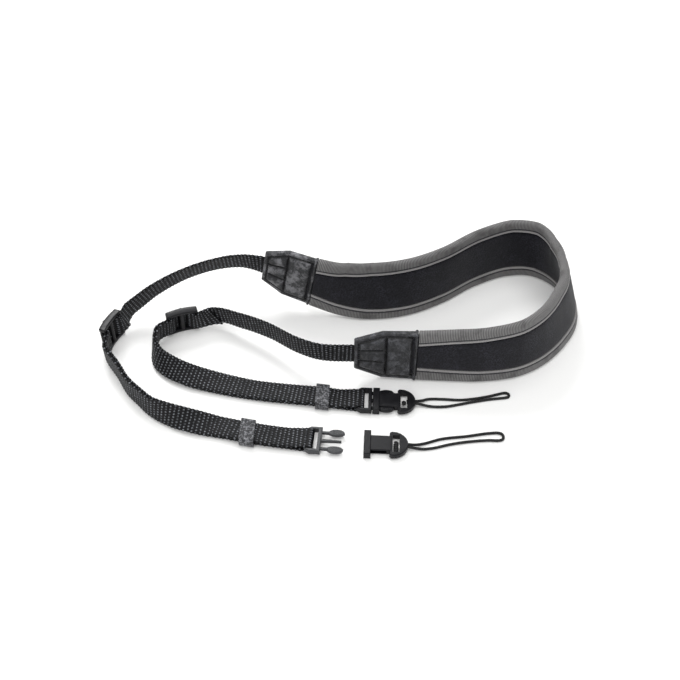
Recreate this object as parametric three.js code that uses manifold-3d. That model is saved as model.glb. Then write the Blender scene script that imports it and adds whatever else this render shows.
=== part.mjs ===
// A camera neck strap lying on a flat surface: a contoured neoprene neck pad that stands on its
// lower edge and curls round at one end, a leather tab sewn over each end of the pad, and on each
// tab a nylon strap that runs through a slider, a leather keeper and a side-release buckle to a
// thin cord loop for the camera's eyelet. The far strap's buckle is open, the near one's is shut.
// Millimetres, +Z up; the origin is on the surface, below the middle of the strap's hard outline.

import * as THREE from 'three';
import { mergeVertices } from 'three/addons/utils/BufferGeometryUtils.js';
import Module from 'manifold-3d';

const wasm = await Module();
wasm.setup();

// ---- driving dimensions -------------------------------------------------------------------

const GAP = 0.3; // between pieces that touch
const SOFT = 0.4; // rounding of moulded rims
const SOFT_PRONG = 0.2;
const PAD_THICK = 4.6; // neoprene with its cloth faces, and the bound edges
const PAD_EDGE_THICK = 2.4; // neoprene squeezed inside the binding
const BINDING_WALL = 0.8; // ribbed knit tape folded over the edge
const PAD_STATIONS = 46;
const CROWN = { down: 0.36, shoulder: 0.6, drop: 0.4 }; // rounding of the binding's fold
const TONGUE = { long: 4.5, high: 28, thick: 2.2 }; // the pad's end inside a tab
const TONGUE_PLACES = [-1, -0.6, -0.5, 0.5, 0.6, 1]; // its corners up its height, as many as the pad's

const TAB = {
  mouthHigh: 35, shoulderHigh: 33.6, webEndHigh: 21, thick: 5.2, shoulderAt: 0.56, soft: 0.7,
};
const TAB_POCKET = { deep: 5.4, high: 29, thick: 3 };
const TAB_SLOT = { deep: 6, high: 13.4, thick: 2.1 };
const TAB_BEAD = { wide: 1.8, proud: 0.4, inset: 0.5 }; // folded bead along the mouth
const THROUGH = 1; // how far a cutter runs on past the face that it cuts
const ROUTE_SAMPLES = 600;
const NEAREST_STEPS = 800;

const WEB = { wide: 12.7, thick: 1.3, step: 4.6, fineStep: 1.7, intoTab: 5 };
const LAYER_OFFSET = (WEB.thick + GAP) / 2; // half the pitch of the doubled webbing

const SLIDER = { long: 18, high: 17.6, railThick: 4, rail: 2.1, bar: 2.2, endBar: 2.4, midBar: 2.8 };
const BAR_PITCH = (SLIDER.long - SLIDER.endBar) / 2;
const BAR_SHIFT = (SLIDER.railThick - SLIDER.bar) / 2; // end bars outside, middle bar inside
const WEAVE = 2.7; // how far the webbing swings from side to side round the bars
const WEAVE_FADE = [1.5, 11]; // beyond the end bars, where the swing starts and stops dying out
const DOUBLING = [16, 2]; // before the tail's end, where the strap moves aside to make room for it
const SPREADING = [12, 1]; // before the buckle's bar, where the two layers part to go round it
const FOLD_STEPS = 8;

const KEEPER = { wall: 1, high: 13.3, thick: 3.5 };

const MALE = {
  long: 8.2, wide: 16.4, thick: 3.2, inner: 13.3, barAt: 1.9, barRadius: 0.8, crossAt: 6.3, shoulder: 1.6,
};
const PRONG = {
  thick: 1.8, at: 5.3, armWide: 1, armEnd: 12, lobeEnd: 20, lobeIn: 3.6, lobeOut: 7.6, bend: 1.4,
};
const TONGUE_PRONG = { end: 18.6, root: 1.8, tip: 0.8 };
const FOLD_RADIUS = MALE.barRadius + GAP + WEB.thick / 2; // webbing folded round the bar

const FEMALE = { long: 22.8, wide: 15.8, flange: 3.6, flangeThick: 4.4, waist: 9.8, bodyThick: 3.6 };
const HEAD = {
  at: 13.2, thick: 3, radius: 8, corner: 0.8, windowAt: 14.8, windowLong: 3.6, windowWide: 10.8,
};
const MATED_GAP = 0.5; // between the shut buckle's shoulders
const SOCKET = { deep: 11.8, wide: 13.6, thick: 2.3 };
const CORD_HOLE = { wide: 3.6, thick: 1.8 };

const CORD = { thick: 1.5, sides: 8, step: 2.1 };
const KNOT = { long: 5.2, radius: 1.3 };

// The tables' own origin, seen from the middle of the strap's footprint.
const ORIGIN = { x: 0.4, y: 1.2, z: 0.12 };

// ---- tables -------------------------------------------------------------------------------

// The pad from the far tab to the near tab: plan place of its lower edge, lift of that edge off
// the surface, lean of its upper edge towards the inside of the curl in degrees, its height, and
// how far the binding reaches down from the upper edge and up from the lower one.
const PAD_ROWS = [
  { x: -20.8, y: 37.6, lift: 4.6, lean: 0, high: 36.0, upper: 8.8, lower: 9.8 },
  { x: -4.0, y: 32.6, lift: 1.4, lean: -2, high: 38.5, upper: 7.8, lower: 8.8 },
  { x: 13.5, y: 30.4, lift: 0, lean: -3, high: 40.0, upper: 7.2, lower: 8.0 },
  { x: 36.0, y: 33.8, lift: 0, lean: -3, high: 40.2, upper: 7.0, lower: 7.6 },
  { x: 56.5, y: 44.0, lift: 0, lean: -2, high: 40.6, upper: 7.0, lower: 7.6 },
  { x: 77.8, y: 59.4, lift: 0, lean: -2, high: 41.0, upper: 7.0, lower: 7.6 },
  { x: 98.6, y: 69.0, lift: 0, lean: -2, high: 41.0, upper: 7.0, lower: 7.6 },
  { x: 114.6, y: 69.4, lift: 0, lean: 3, high: 41.0, upper: 7.0, lower: 7.6 },
  { x: 127.4, y: 60.2, lift: 0, lean: 13, high: 41.0, upper: 7.0, lower: 7.6 },
  { x: 134.9, y: 41.4, lift: 0, lean: 18, high: 41.0, upper: 7.0, lower: 7.6 },
  { x: 132.4, y: 22.5, lift: 0, lean: 17, high: 41.0, upper: 7.0, lower: 7.6 },
  { x: 122.6, y: 6.0, lift: 0, lean: 13, high: 41.0, upper: 7.0, lower: 7.8 },
  { x: 108.6, y: -8.0, lift: 0, lean: 7, high: 40.6, upper: 7.0, lower: 8.0 },
  { x: 94.0, y: -16.0, lift: 0, lean: 3, high: 39.6, upper: 7.0, lower: 8.2 },
  { x: 74.4, y: -19.4, lift: 0, lean: 1, high: 38.4, upper: 7.2, lower: 8.6 },
  { x: 55.5, y: -19.0, lift: 0, lean: 0, high: 37.2, upper: 7.8, lower: 9.2 },
  { x: 38.8, y: -18.1, lift: 0, lean: 0, high: 35.5, upper: 8.6, lower: 10.0 },
];

// Webbing from its tab to the buckle's bar: middle of the doubled strap, and its roll in
// degrees, 0 standing on edge and 90 lying flat with its outer face up.
const FAR_WEB_ROWS = [
  { x: -60.5, y: 49.2, z: 27.8, roll: 16 },
  { x: -74.2, y: 48.1, z: 26.8, roll: 20 },
  { x: -92.2, y: 42.2, z: 24.4, roll: 20 },
  { x: -110.5, y: 33.4, z: 19.0, roll: 14 },
  { x: -122.8, y: 25.4, z: 12.6, roll: 6 },
  { x: -129.5, y: 18.3, z: 9.2, roll: 1 },
  { x: -132.7, y: 10.4, z: 9.1, roll: 0 },
  { x: -135.3, y: 2.0, z: 9.1, roll: 0 },
  { x: -132.4, y: -6.4, z: 8.2, roll: -2 },
  { x: -123.8, y: -18.8, z: 7.3, roll: 0 },
  { x: -117.0, y: -29.8, z: 6.9, roll: 2 },
  { x: -109.7, y: -37.8, z: 6.9, roll: 4 },
  { x: -101.8, y: -45.3, z: 6.9, roll: 8 },
  { x: -90.7, y: -50.6, z: 6.4, roll: 26 },
  { x: -78.6, y: -53.3, z: 4.5, roll: 62 },
  { x: -67.9, y: -54.8, z: 2.4, roll: 86 },
  { x: -60.0, y: -56.8, z: 2.6, roll: 90 },
  { x: -50.9, y: -59.3, z: 2.9, roll: 90 },
  { x: -32.0, y: -62.6, z: 2.6, roll: 90 },
  { x: -18.9, y: -63.8, z: 2.35, roll: 90 },
];
const NEAR_WEB_ROWS = [
  { x: -13.0, y: -15.6, z: 18.0, roll: 2 },
  { x: -26.0, y: -8.6, z: 16.4, roll: 3 },
  { x: -43.0, y: 5.6, z: 14.0, roll: 4 },
  { x: -59.0, y: 15.4, z: 12.0, roll: 5 },
  { x: -73.0, y: 21.4, z: 10.2, roll: 7 },
  { x: -85.2, y: 21.8, z: 9.3, roll: 10 },
  { x: -93.4, y: 19.1, z: 9.3, roll: 12 },
  { x: -101.6, y: 16.0, z: 9.3, roll: 12 },
  { x: -106.0, y: 9.0, z: 8.6, roll: 9 },
  { x: -106.6, y: -0.4, z: 7.3, roll: 9 },
  { x: -103.6, y: -8.6, z: 6.7, roll: 22 },
  { x: -96.6, y: -14.8, z: 6.0, roll: 40 },
  { x: -85.4, y: -20.0, z: 4.6, roll: 62 },
  { x: -70.0, y: -24.2, z: 3.0, roll: 80 },
  { x: -50.0, y: -28.8, z: 2.2, roll: 90 },
  { x: -30.0, y: -32.0, z: 2.4, roll: 90 },
  { x: -13.0, y: -34.4, z: 2.9, roll: 90 },
  { x: -3.0, y: -35.8, z: 2.5, roll: 90 },
  { x: 7.8, y: -36.4, z: 2.35, roll: 90 },
];

// What sits along each strap: its tab's length, the slider's middle, how far the tail runs on
// past that and how far its end slants, and the keeper's middle, length and skew up its height.
const FITTINGS = {
  far: {
    tabLong: 31, slider: { x: -132.7, y: 10.4 }, tail: 12, tailSlant: 1,
    keeper: { x: -50.9, y: -59.3 }, keeperLong: 7.8, keeperSkew: -0.18,
  },
  near: {
    tabLong: 34, slider: { x: -93.4, y: 19.1 }, tail: 20, tailSlant: 6,
    keeper: { x: -12.4, y: -34.5 }, keeperLong: 7.2, keeperSkew: -0.1,
  },
};

// Open half of the far buckle, lying free: the middle of its mating face, and its heading.
const FAR_FEMALE = { x: 9.2, y: -66.2, z: 2.1, heading: -3 };

// Cord loops, from the knot in the window out round the loop and back, as laid on the surface.
const FAR_CORD = [
  [27.5, -66.4, 2.1], [31.8, -66.6, 2.1], [35.6, -66.2, 1.3], [40.4, -64.9, 0.7], [49.7, -61.8, 0.66],
  [62.9, -60.0, 0.66], [73.9, -58.1, 0.66], [79.3, -57.8, 0.66], [81.1, -58.5, 0.66],
  [81.8, -60.3, 0.66], [81.1, -62.1, 0.66], [79.3, -62.8, 0.66], [74.0, -62.7, 0.66],
  [65.4, -63.4, 0.66], [54.6, -65.2, 0.66], [44.6, -67.9, 0.66], [39.4, -68.6, 0.8],
  [35.6, -68.4, 1.3], [31.8, -68.2, 2.1], [27.5, -68.0, 2.1],
];
const NEAR_CORD = [
  [32.6, -36.9, 2.35], [37.4, -37.1, 2.35], [40.8, -35.9, 1.4], [44.6, -34.3, 0.8], [51.8, -34.2, 0.66],
  [61.0, -34.8, 0.66], [68.4, -34.1, 0.66], [78.0, -32.0, 0.66], [82.6, -30.6, 0.66],
  [86.3, -29.7, 0.66], [87.8, -30.2, 0.66], [88.3, -31.4, 0.66], [87.8, -32.6, 0.66],
  [86.3, -33.1, 0.66], [78.4, -34.2, 0.66], [68.8, -36.1, 0.66], [60.0, -38.2, 0.66],
  [53.0, -39.6, 0.66], [46.0, -39.6, 0.8], [40.8, -38.9, 1.5], [37.4, -38.7, 2.35],
  [32.6, -38.5, 2.35],
];

// ---- helpers ------------------------------------------------------------------------------

const rad = THREE.MathUtils.degToRad;
const UP = new THREE.Vector3(0, 0, 1);

const finish = {
  neoprene: { color: 0x1c1d21, roughness: 0.95, metalness: 0 },
  binding: { color: 0x6f6d6c, roughness: 0.9, metalness: 0 },
  leather: { color: 0x36373b, roughness: 0.5, metalness: 0 },
  webbing: { color: 0x2b2c2d, roughness: 0.85, metalness: 0 },
  plastic: { color: 0x2c2c2e, roughness: 0.45, metalness: 0 },
  cord: { color: 0x1c1c1e, roughness: 0.8, metalness: 0 },
};

function piece(name, geometry, look) {
  const mesh = new THREE.Mesh(geometry, new THREE.MeshStandardMaterial(finish[look]));
  mesh.name = name;
  return mesh;
}

function toSolid(geometry) {
  const bare = geometry.clone();
  bare.deleteAttribute('normal');
  bare.deleteAttribute('uv');
  const merged = mergeVertices(bare);
  return new wasm.Manifold(new wasm.Mesh({
    numProp: 3,
    vertProperties: new Float32Array(merged.attributes.position.array),
    triVerts: new Uint32Array(merged.index.array),
  }));
}

function toGeometry(solid) {
  const mesh = solid.getMesh();
  const geometry = new THREE.BufferGeometry();
  geometry.setAttribute('position', new THREE.BufferAttribute(new Float32Array(mesh.vertProperties), 3));
  geometry.setIndex(new THREE.BufferAttribute(new Uint32Array(mesh.triVerts), 1));
  return geometry;
}

const box = (x0, x1, wide, thick, y = 0, z = 0) => toSolid(
  new THREE.BoxGeometry(x1 - x0, wide, thick).translate((x0 + x1) / 2, y, z),
);

// A flat slab of an outline drawn in X and Y, centred on Z = 0, its rims softened.
function slab(outline, thick, soften = SOFT) {
  const geometry = new THREE.ExtrudeGeometry(outline, {
    depth: thick - 2 * soften,
    bevelThickness: soften,
    bevelSize: soften,
    bevelOffset: -soften,
    bevelSegments: 1,
    curveSegments: 6,
  });
  return toSolid(geometry.translate(0, 0, soften - thick / 2));
}

const polygon = (points) => new THREE.Shape(points.map(([x, y]) => new THREE.Vector2(x, y)));
const rectangle = (x0, x1, wide) => polygon([
  [x0, -wide / 2], [x1, -wide / 2], [x1, wide / 2], [x0, wide / 2],
]);

// Joins rings of points, each drawn round the same closed section, into one closed solid.
function loft(sections) {
  const count = sections[0].outline.length;
  const positions = [];
  for (const { at, across, along, outline } of sections) {
    for (const [u, v] of outline) {
      const point = at.clone().addScaledVector(across, u).addScaledVector(along, v);
      positions.push(point.x, point.y, point.z);
    }
  }
  const index = [];
  for (let ring = 0; ring + 1 < sections.length; ring += 1) {
    for (let corner = 0; corner < count; corner += 1) {
      const next = (corner + 1) % count;
      const [a, b] = [ring * count + corner, ring * count + next];
      index.push(a, b, b + count, a, b + count, a + count);
    }
  }
  const last = (sections.length - 1) * count;
  const cap = (outline) => THREE.ShapeUtils.triangulateShape(
    outline.map(([u, v]) => new THREE.Vector2(u, v)), [],
  );
  for (const [a, b, c] of cap(sections[0].outline)) index.push(c, b, a);
  for (const [a, b, c] of cap(sections.at(-1).outline)) index.push(last + a, last + b, last + c);
  const geometry = new THREE.BufferGeometry();
  geometry.setAttribute('position', new THREE.Float32BufferAttribute(positions, 3));
  geometry.setIndex(index);
  return geometry;
}

// A smooth line through a table's rows, with the other columns read off at the same place.
class Route {
  constructor(rows) {
    this.rows = rows;
    const points = rows.map(({ x, y, z, lift }) => new THREE.Vector3(x, y, z ?? lift));
    this.line = new THREE.CatmullRomCurve3(points, false, 'centripetal');
    this.line.arcLengthDivisions = ROUTE_SAMPLES;
    this.length = this.line.getLength();
  }

  column(name, distance) {
    const place = this.line.getUtoTmapping(distance / this.length) * (this.rows.length - 1);
    const row = Math.min(Math.floor(place), this.rows.length - 2);
    return THREE.MathUtils.lerp(this.rows[row][name], this.rows[row + 1][name], place - row);
  }

  // The place at a distance: "left" and "up" turned about the line by "turn" degrees.
  frame(distance, turn) {
    const at = this.line.getPointAt(distance / this.length);
    const ahead = this.line.getTangentAt(distance / this.length);
    const left = UP.clone().cross(ahead).normalize();
    const up = ahead.clone().cross(left);
    const across = left.clone().applyAxisAngle(ahead, rad(turn));
    const along = up.applyAxisAngle(ahead, rad(turn));
    return { at, ahead, across, along };
  }

  nearest(x, y) {
    let best = { gap: Infinity, distance: 0 };
    for (let step = 0; step <= NEAREST_STEPS; step += 1) {
      const at = this.line.getPointAt(step / NEAREST_STEPS);
      const gap = Math.hypot(at.x - x, at.y - y);
      if (gap < best.gap) best = { gap, distance: (step / NEAREST_STEPS) * this.length };
    }
    return best.distance;
  }
}

// ---- neck pad -----------------------------------------------------------------------------

// The pad's core across its thickness: full in the field, squeezed flat under the bindings.
function coreOutline(high, upper, lower) {
  const [thin, full] = [PAD_EDGE_THICK / 2, PAD_THICK / 2];
  const [top, bottom] = [high / 2 - BINDING_WALL - GAP, -high / 2 + BINDING_WALL + GAP];
  const [fieldTop, fieldBottom] = [high / 2 - upper - GAP, -high / 2 + lower + GAP];
  const side = [
    [thin, bottom], [thin, fieldBottom], [full, fieldBottom + GAP],
    [full, fieldTop - GAP], [thin, fieldTop], [thin, top],
  ];
  return [...side, ...side.map(([u, v]) => [-u, v]).reverse()];
}

function tongueOutline() {
  const { high, thick } = TONGUE;
  const side = TONGUE_PLACES.map((part) => [thick / 2, (part * high) / 2]);
  return [...side, ...side.map(([u, v]) => [-u, v]).reverse()];
}

// A binding tape folded over the pad's upper edge (side 1) or lower edge (side -1).
function bindingOutline(high, reach, side) {
  const edge = high / 2;
  const outside = PAD_THICK / 2;
  const inside = outside - BINDING_WALL;
  const crown = PAD_THICK * CROWN.down;
  const half = [
    [inside, edge - reach], [outside, edge - reach], [outside, edge - crown],
    [outside * CROWN.shoulder, edge - CROWN.drop],
  ];
  const fold = [inside, edge - BINDING_WALL];
  const round = [
    ...half, [0, edge], ...half.slice(2).map(([u, v]) => [-u, v]).reverse(),
    [-outside, edge - reach], [-inside, edge - reach], [-fold[0], fold[1]], fold,
  ];
  return side > 0 ? round : round.map(([u, v]) => [-u, -v]);
}

const padRoute = new Route(PAD_ROWS);

// The pad's section at a station: the middle of its height, and its directions there.
function padFrame(station) {
  const distance = (padRoute.length * station) / (PAD_STATIONS - 1);
  const lean = padRoute.column('lean', distance);
  const frame = padRoute.frame(distance, lean);
  const rounding = (PAD_THICK / 2) * (1 - Math.cos(rad(lean)));
  frame.at.addScaledVector(frame.along, padRoute.column('high', distance) / 2).addScaledVector(UP, rounding);
  return { ...frame, distance };
}

function padSections(outlineAt) {
  const sections = [];
  for (let station = 0; station < PAD_STATIONS; station += 1) {
    const frame = padFrame(station);
    const read = (name) => padRoute.column(name, frame.distance);
    sections.push({ ...frame, outline: outlineAt(read('high'), read('upper'), read('lower')) });
  }
  return sections;
}

function padCore() {
  const sections = padSections(coreOutline);
  const ends = [[sections[0], -1], [sections.at(-1), 1]];
  const [start, end] = ends.map(([section, way]) => [GAP, TONGUE.long].map((out) => ({
    ...section,
    at: section.at.clone().addScaledVector(section.ahead, way * out),
    outline: tongueOutline(),
  })));
  return loft([...start.reverse(), ...sections, ...end]);
}

const padUpperBinding = () => loft(padSections((high, upper) => bindingOutline(high, upper, 1)));
const padLowerBinding = () => loft(padSections((high, upper, lower) => bindingOutline(high, lower, -1)));

// ---- tabs ---------------------------------------------------------------------------------

// A tab lies along +X from its mouth on the pad, its height along Y and its thickness along Z.
function tabGeometry(long) {
  const shoulder = long * TAB.shoulderAt;
  const half = [[0, TAB.mouthHigh / 2], [shoulder, TAB.shoulderHigh / 2], [long, TAB.webEndHigh / 2]];
  const outline = polygon([...half.map(([x, y]) => [x, -y]), ...half.reverse()]);
  const body = slab(outline, TAB.thick, TAB.soft);
  const bead = box(0, TAB_BEAD.wide, TAB.mouthHigh - 2 * TAB_BEAD.inset, TAB.thick + 2 * TAB_BEAD.proud);
  const pocket = box(-THROUGH, TAB_POCKET.deep, TAB_POCKET.high, TAB_POCKET.thick);
  const slot = box(long - TAB_SLOT.deep, long + THROUGH, TAB_SLOT.high, TAB_SLOT.thick);
  return toGeometry(body.add(bead).subtract(pocket).subtract(slot));
}

// A tab's place: the middle of its mouth at the pad's end, its X leading away from the pad.
function tabFrame(side) {
  const far = side === 'far';
  const { at, ahead, across, along } = padFrame(far ? 0 : PAD_STATIONS - 1);
  const out = far ? ahead.negate() : ahead;
  return { at: at.addScaledVector(out, GAP), out, across: far ? across.negate() : across, along };
}

function placeTab(mesh, { at, out, across, along }) {
  const thickness = across.clone().negate();
  mesh.quaternion.setFromRotationMatrix(new THREE.Matrix4().makeBasis(out, along, thickness));
  mesh.position.copy(at);
  return mesh;
}

// A strap's rows, led out of the slot in its tab's end.
function webRows(side, rows) {
  const { at, out } = tabFrame(side);
  const { tabLong } = FITTINGS[side];
  const lead = [tabLong - WEB.intoTab, tabLong - WEB.intoTab / 2, tabLong + THROUGH].map((distance) => {
    const { x, y, z } = at.clone().addScaledVector(out, distance);
    return { x, y, z, roll: 0 };
  });
  return [...lead, ...rows];
}

// ---- webbing ------------------------------------------------------------------------------

// Sideways swing of the webbing round the slider's three bars, by distance from its middle.
function weave(fromSlider) {
  const away = Math.abs(fromSlider);
  if (away <= BAR_PITCH) return -WEAVE * Math.cos((Math.PI * away) / BAR_PITCH);
  const [start, stop] = WEAVE_FADE.map((beyond) => BAR_PITCH + beyond);
  return WEAVE * (1 - THREE.MathUtils.smoothstep(away, start, stop));
}

// One strap: out of the tab, through the slider, out to the buckle's bar, round it, and back
// on its inner side through the slider to a slanted tail.
function webbing(rows, fitting) {
  const route = new Route(rows);
  const sliderAt = route.nearest(fitting.slider.x, fitting.slider.y);
  const tailAt = sliderAt - fitting.tail;
  const distances = [];
  for (let distance = 0; distance < route.length - WEB.fineStep / 2;) {
    distances.push(distance);
    const fine = Math.abs(distance - sliderAt) < 2 * BAR_PITCH;
    distance += fine ? WEB.fineStep : WEB.step;
  }
  distances.push(route.length);

  const { wide, thick } = WEB;
  const corners = [[-0.5, -0.5], [0.5, -0.5], [0.5, 0.5], [-0.5, 0.5]];
  const outline = corners.map(([u, v]) => [u * thick, v * wide]);
  const { smoothstep, lerp } = THREE.MathUtils;
  const apart = (distance) => {
    const single = LAYER_OFFSET * smoothstep(distance, tailAt - DOUBLING[0], tailAt - DOUBLING[1]);
    const nearing = smoothstep(distance, route.length - SPREADING[0], route.length - SPREADING[1]);
    return lerp(single, FOLD_RADIUS, nearing);
  };
  const layer = (distance, way) => {
    const { at, ahead, across, along } = route.frame(distance, -route.column('roll', distance));
    at.addScaledVector(across, weave(distance - sliderAt) + way * apart(distance));
    return { at, ahead, across: across.multiplyScalar(-way), along, outline };
  };

  const outward = distances.map((distance) => layer(distance, -1));
  const homeward = distances.filter((distance) => distance > tailAt).reverse();
  const inward = homeward.map((distance) => layer(distance, 1));
  const tail = inward.at(-1);
  tail.along = tail.along.clone().addScaledVector(tail.ahead, fitting.tailSlant / wide);

  const { at, ahead, across, along } = route.frame(route.length, -route.column('roll', route.length));
  const fold = [];
  for (let step = 1; step < FOLD_STEPS; step += 1) {
    const angle = (Math.PI * step) / FOLD_STEPS;
    const [cos, sin] = [Math.cos(angle), Math.sin(angle)];
    const out = across.clone().multiplyScalar(-cos).addScaledVector(ahead, sin);
    fold.push({ at: at.clone().addScaledVector(out, FOLD_RADIUS), across: out.negate(), along, outline });
  }
  return loft([...outward, ...fold, ...inward]);
}

// ---- slider and keeper --------------------------------------------------------------------

// A slider lies along +X with its height along Z; its middle bar stands on the inner (+Y) side.
function sliderGeometry() {
  const { long, high, railThick, rail, bar, endBar, midBar } = SLIDER;
  const railAt = (high - rail) / 2;
  const rails = [-1, 1].map((side) => slab(rectangle(-long / 2, long / 2, railThick), rail)
    .translate([0, 0, side * railAt]));
  const across = (x, wide, y) => toSolid(
    new THREE.CylinderGeometry(1, 1, high - rail, 8).rotateX(Math.PI / 2).rotateZ(Math.PI / 8)
      .scale(wide / 2, bar / 2, 1).translate(x, y, 0),
  );
  const bars = [
    across(-BAR_PITCH, endBar, -BAR_SHIFT),
    across(BAR_PITCH, endBar, -BAR_SHIFT),
    across(0, midBar, BAR_SHIFT),
  ];
  return toGeometry([...rails, ...bars].reduce((whole, part) => whole.add(part)));
}

// A soft band along +X with its height along Z, pulled askew on its strap.
function keeperGeometry(long, skew) {
  const { wall, high, thick } = KEEPER;
  const outer = slab(rectangle(-high / 2 - wall, high / 2 + wall, thick + 2 * wall), long, wall / 3);
  const inner = toSolid(new THREE.BoxGeometry(high, thick, long + 2 * THROUGH));
  const band = toGeometry(outer.subtract(inner).rotate([0, 90, 0]));
  return band.applyMatrix4(new THREE.Matrix4().makeShear(0, 0, 0, 0, skew, 0));
}

// Sets a mesh on a strap: its X along the strap, its Y across the thickness towards the inside.
function placeOn(mesh, rows, place) {
  const route = new Route(rows);
  const distance = route.nearest(place.x, place.y);
  const { at, ahead, across, along } = route.frame(distance, -route.column('roll', distance));
  mesh.quaternion.setFromRotationMatrix(new THREE.Matrix4().makeBasis(ahead, across, along));
  mesh.position.copy(at);
  return mesh;
}

// ---- buckle -------------------------------------------------------------------------------

// Male half, along +X from its webbing end, its width along Y.
function maleGeometry() {
  const { long, wide, thick, inner, barAt, barRadius, crossAt, shoulder } = MALE;
  const arm = (wide - inner) / 2;
  const frame = slab(polygon([
    [0, -wide / 2 + shoulder], [1.5 * shoulder, -wide / 2], [long, -wide / 2],
    [long, wide / 2], [1.5 * shoulder, wide / 2], [0, wide / 2 - shoulder],
  ]), thick);
  const opening = box(-THROUGH, crossAt, inner, thick + 2 * THROUGH);
  const bar = toSolid(
    new THREE.CylinderGeometry(barRadius, barRadius, wide - arm, 10).translate(barAt, 0, 0),
  );
  const root = long - THROUGH;
  const arms = [-1, 1].map((side) => (
    box(root, PRONG.armEnd, PRONG.armWide, PRONG.thick, side * PRONG.at)
  ));
  const lobe = (side) => {
    const shape = new THREE.Shape();
    const { at, armWide, lobeIn, lobeOut, bend } = PRONG;
    const [start, end] = [PRONG.armEnd - armWide / 2, PRONG.lobeEnd];
    const middle = (start + end) / 2;
    shape.moveTo(start, side * (at - armWide / 2));
    shape.quadraticCurveTo(start + bend, side * lobeIn, middle, side * lobeIn);
    shape.quadraticCurveTo(end - bend, side * lobeIn, end, side * at);
    shape.quadraticCurveTo(end - bend / 2, side * lobeOut, middle, side * lobeOut);
    shape.quadraticCurveTo(start + bend, side * lobeOut, start, side * (at + armWide / 2));
    return slab(shape, PRONG.thick, SOFT_PRONG);
  };
  const guide = slab(polygon([
    [root, -TONGUE_PRONG.root / 2], [TONGUE_PRONG.end, -TONGUE_PRONG.tip / 2],
    [TONGUE_PRONG.end, TONGUE_PRONG.tip / 2], [root, TONGUE_PRONG.root / 2],
  ]), PRONG.thick, SOFT_PRONG);
  const parts = [bar, ...arms, lobe(-1), lobe(1), guide];
  return toGeometry(parts.reduce((whole, part) => whole.add(part), frame.subtract(opening)));
}

// Female half, along +X from its mating face: flange, open-sided body and round head.
function femaleGeometry() {
  const { long, wide, flange, flangeThick, waist, bodyThick } = FEMALE;
  const rim = slab(rectangle(0, flange, wide), flangeThick);
  const body = slab(rectangle(flange - THROUGH, HEAD.at + THROUGH, waist), bodyThick);
  const round = new THREE.Shape();
  const { corner } = HEAD;
  round.moveTo(HEAD.at, -wide / 2 + corner);
  round.lineTo(HEAD.at + corner, -wide / 2);
  round.absarc(long - HEAD.radius, 0, HEAD.radius, -Math.PI / 2, Math.PI / 2, false);
  round.lineTo(HEAD.at + corner, wide / 2);
  round.lineTo(HEAD.at, wide / 2 - corner);
  const head = slab(round, HEAD.thick);
  const socket = box(-THROUGH, SOCKET.deep, SOCKET.wide, SOCKET.thick);
  const { windowAt, windowLong, windowWide } = HEAD;
  const eye = box(windowAt, windowAt + windowLong, windowWide, HEAD.thick + 2 * THROUGH);
  const cordHole = box(windowAt + THROUGH, long + THROUGH, CORD_HOLE.wide, CORD_HOLE.thick);
  return toGeometry(rim.add(body).add(head).subtract(socket).subtract(eye).subtract(cordHole));
}

// ---- cord loop and knot -------------------------------------------------------------------

function cordGeometry(points) {
  const places = points.map((point) => new THREE.Vector3(...point));
  const path = new THREE.CatmullRomCurve3(places, false, 'centripetal');
  const section = new THREE.Shape();
  for (let side = 0; side < CORD.sides; side += 1) {
    const angle = (2 * Math.PI * side) / CORD.sides;
    const point = [(CORD.thick / 2) * Math.cos(angle), (CORD.thick / 2) * Math.sin(angle)];
    if (side === 0) section.moveTo(...point);
    else section.lineTo(...point);
  }
  const steps = Math.round(path.getLength() / CORD.step);
  return new THREE.ExtrudeGeometry(section, { steps, extrudePath: path });
}

const knotGeometry = () => new THREE.CapsuleGeometry(KNOT.radius, KNOT.long - 2 * KNOT.radius, 3, 8);

// ---- assembly -----------------------------------------------------------------------------

const strap = new THREE.Group();
strap.position.set(ORIGIN.x, ORIGIN.y, ORIGIN.z);

strap.add(piece('pad_core', padCore(), 'neoprene'));
strap.add(piece('pad_binding_upper', padUpperBinding(), 'binding'));
strap.add(piece('pad_binding_lower', padLowerBinding(), 'binding'));

const straps = { far: FAR_WEB_ROWS, near: NEAR_WEB_ROWS };
for (const [side, table] of Object.entries(straps)) {
  const fitting = FITTINGS[side];
  const rows = webRows(side, table);
  strap.add(placeTab(piece(`${side}_tab`, tabGeometry(fitting.tabLong), 'leather'), tabFrame(side)));
  strap.add(piece(`${side}_webbing`, webbing(rows, fitting), 'webbing'));
  strap.add(placeOn(piece(`${side}_slider`, sliderGeometry(), 'plastic'), rows, fitting.slider));
  const band = keeperGeometry(fitting.keeperLong, fitting.keeperSkew);
  const keeper = piece(`${side}_keeper`, band, 'leather');
  strap.add(placeOn(keeper, rows, fitting.keeper));

  // The male half hangs on the strap's last stretch; the near female half is pushed onto it.
  const end = rows.at(-1);
  const before = rows.at(-2);
  const heading = Math.atan2(end.y - before.y, end.x - before.x);
  const buckle = new THREE.Group();
  buckle.position.set(end.x, end.y, end.z);
  buckle.rotation.z = heading;
  const male = piece(`${side}_buckle_male`, maleGeometry(), 'plastic');
  male.position.x = -MALE.barAt;
  buckle.add(male);
  const female = piece(`${side}_buckle_female`, femaleGeometry(), 'plastic');
  const knot = piece(`${side}_cord_knot`, knotGeometry(), 'cord');
  knot.position.set(HEAD.windowAt + HEAD.windowLong / 2 - GAP, 0, 0);
  const socket = new THREE.Group();
  socket.add(female, knot);
  if (side === 'near') {
    socket.position.x = MALE.long - MALE.barAt + MATED_GAP;
    buckle.add(socket);
  } else {
    socket.position.set(FAR_FEMALE.x, FAR_FEMALE.y, FAR_FEMALE.z);
    socket.rotation.z = rad(FAR_FEMALE.heading);
    strap.add(socket);
  }
  strap.add(buckle);
}

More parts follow.
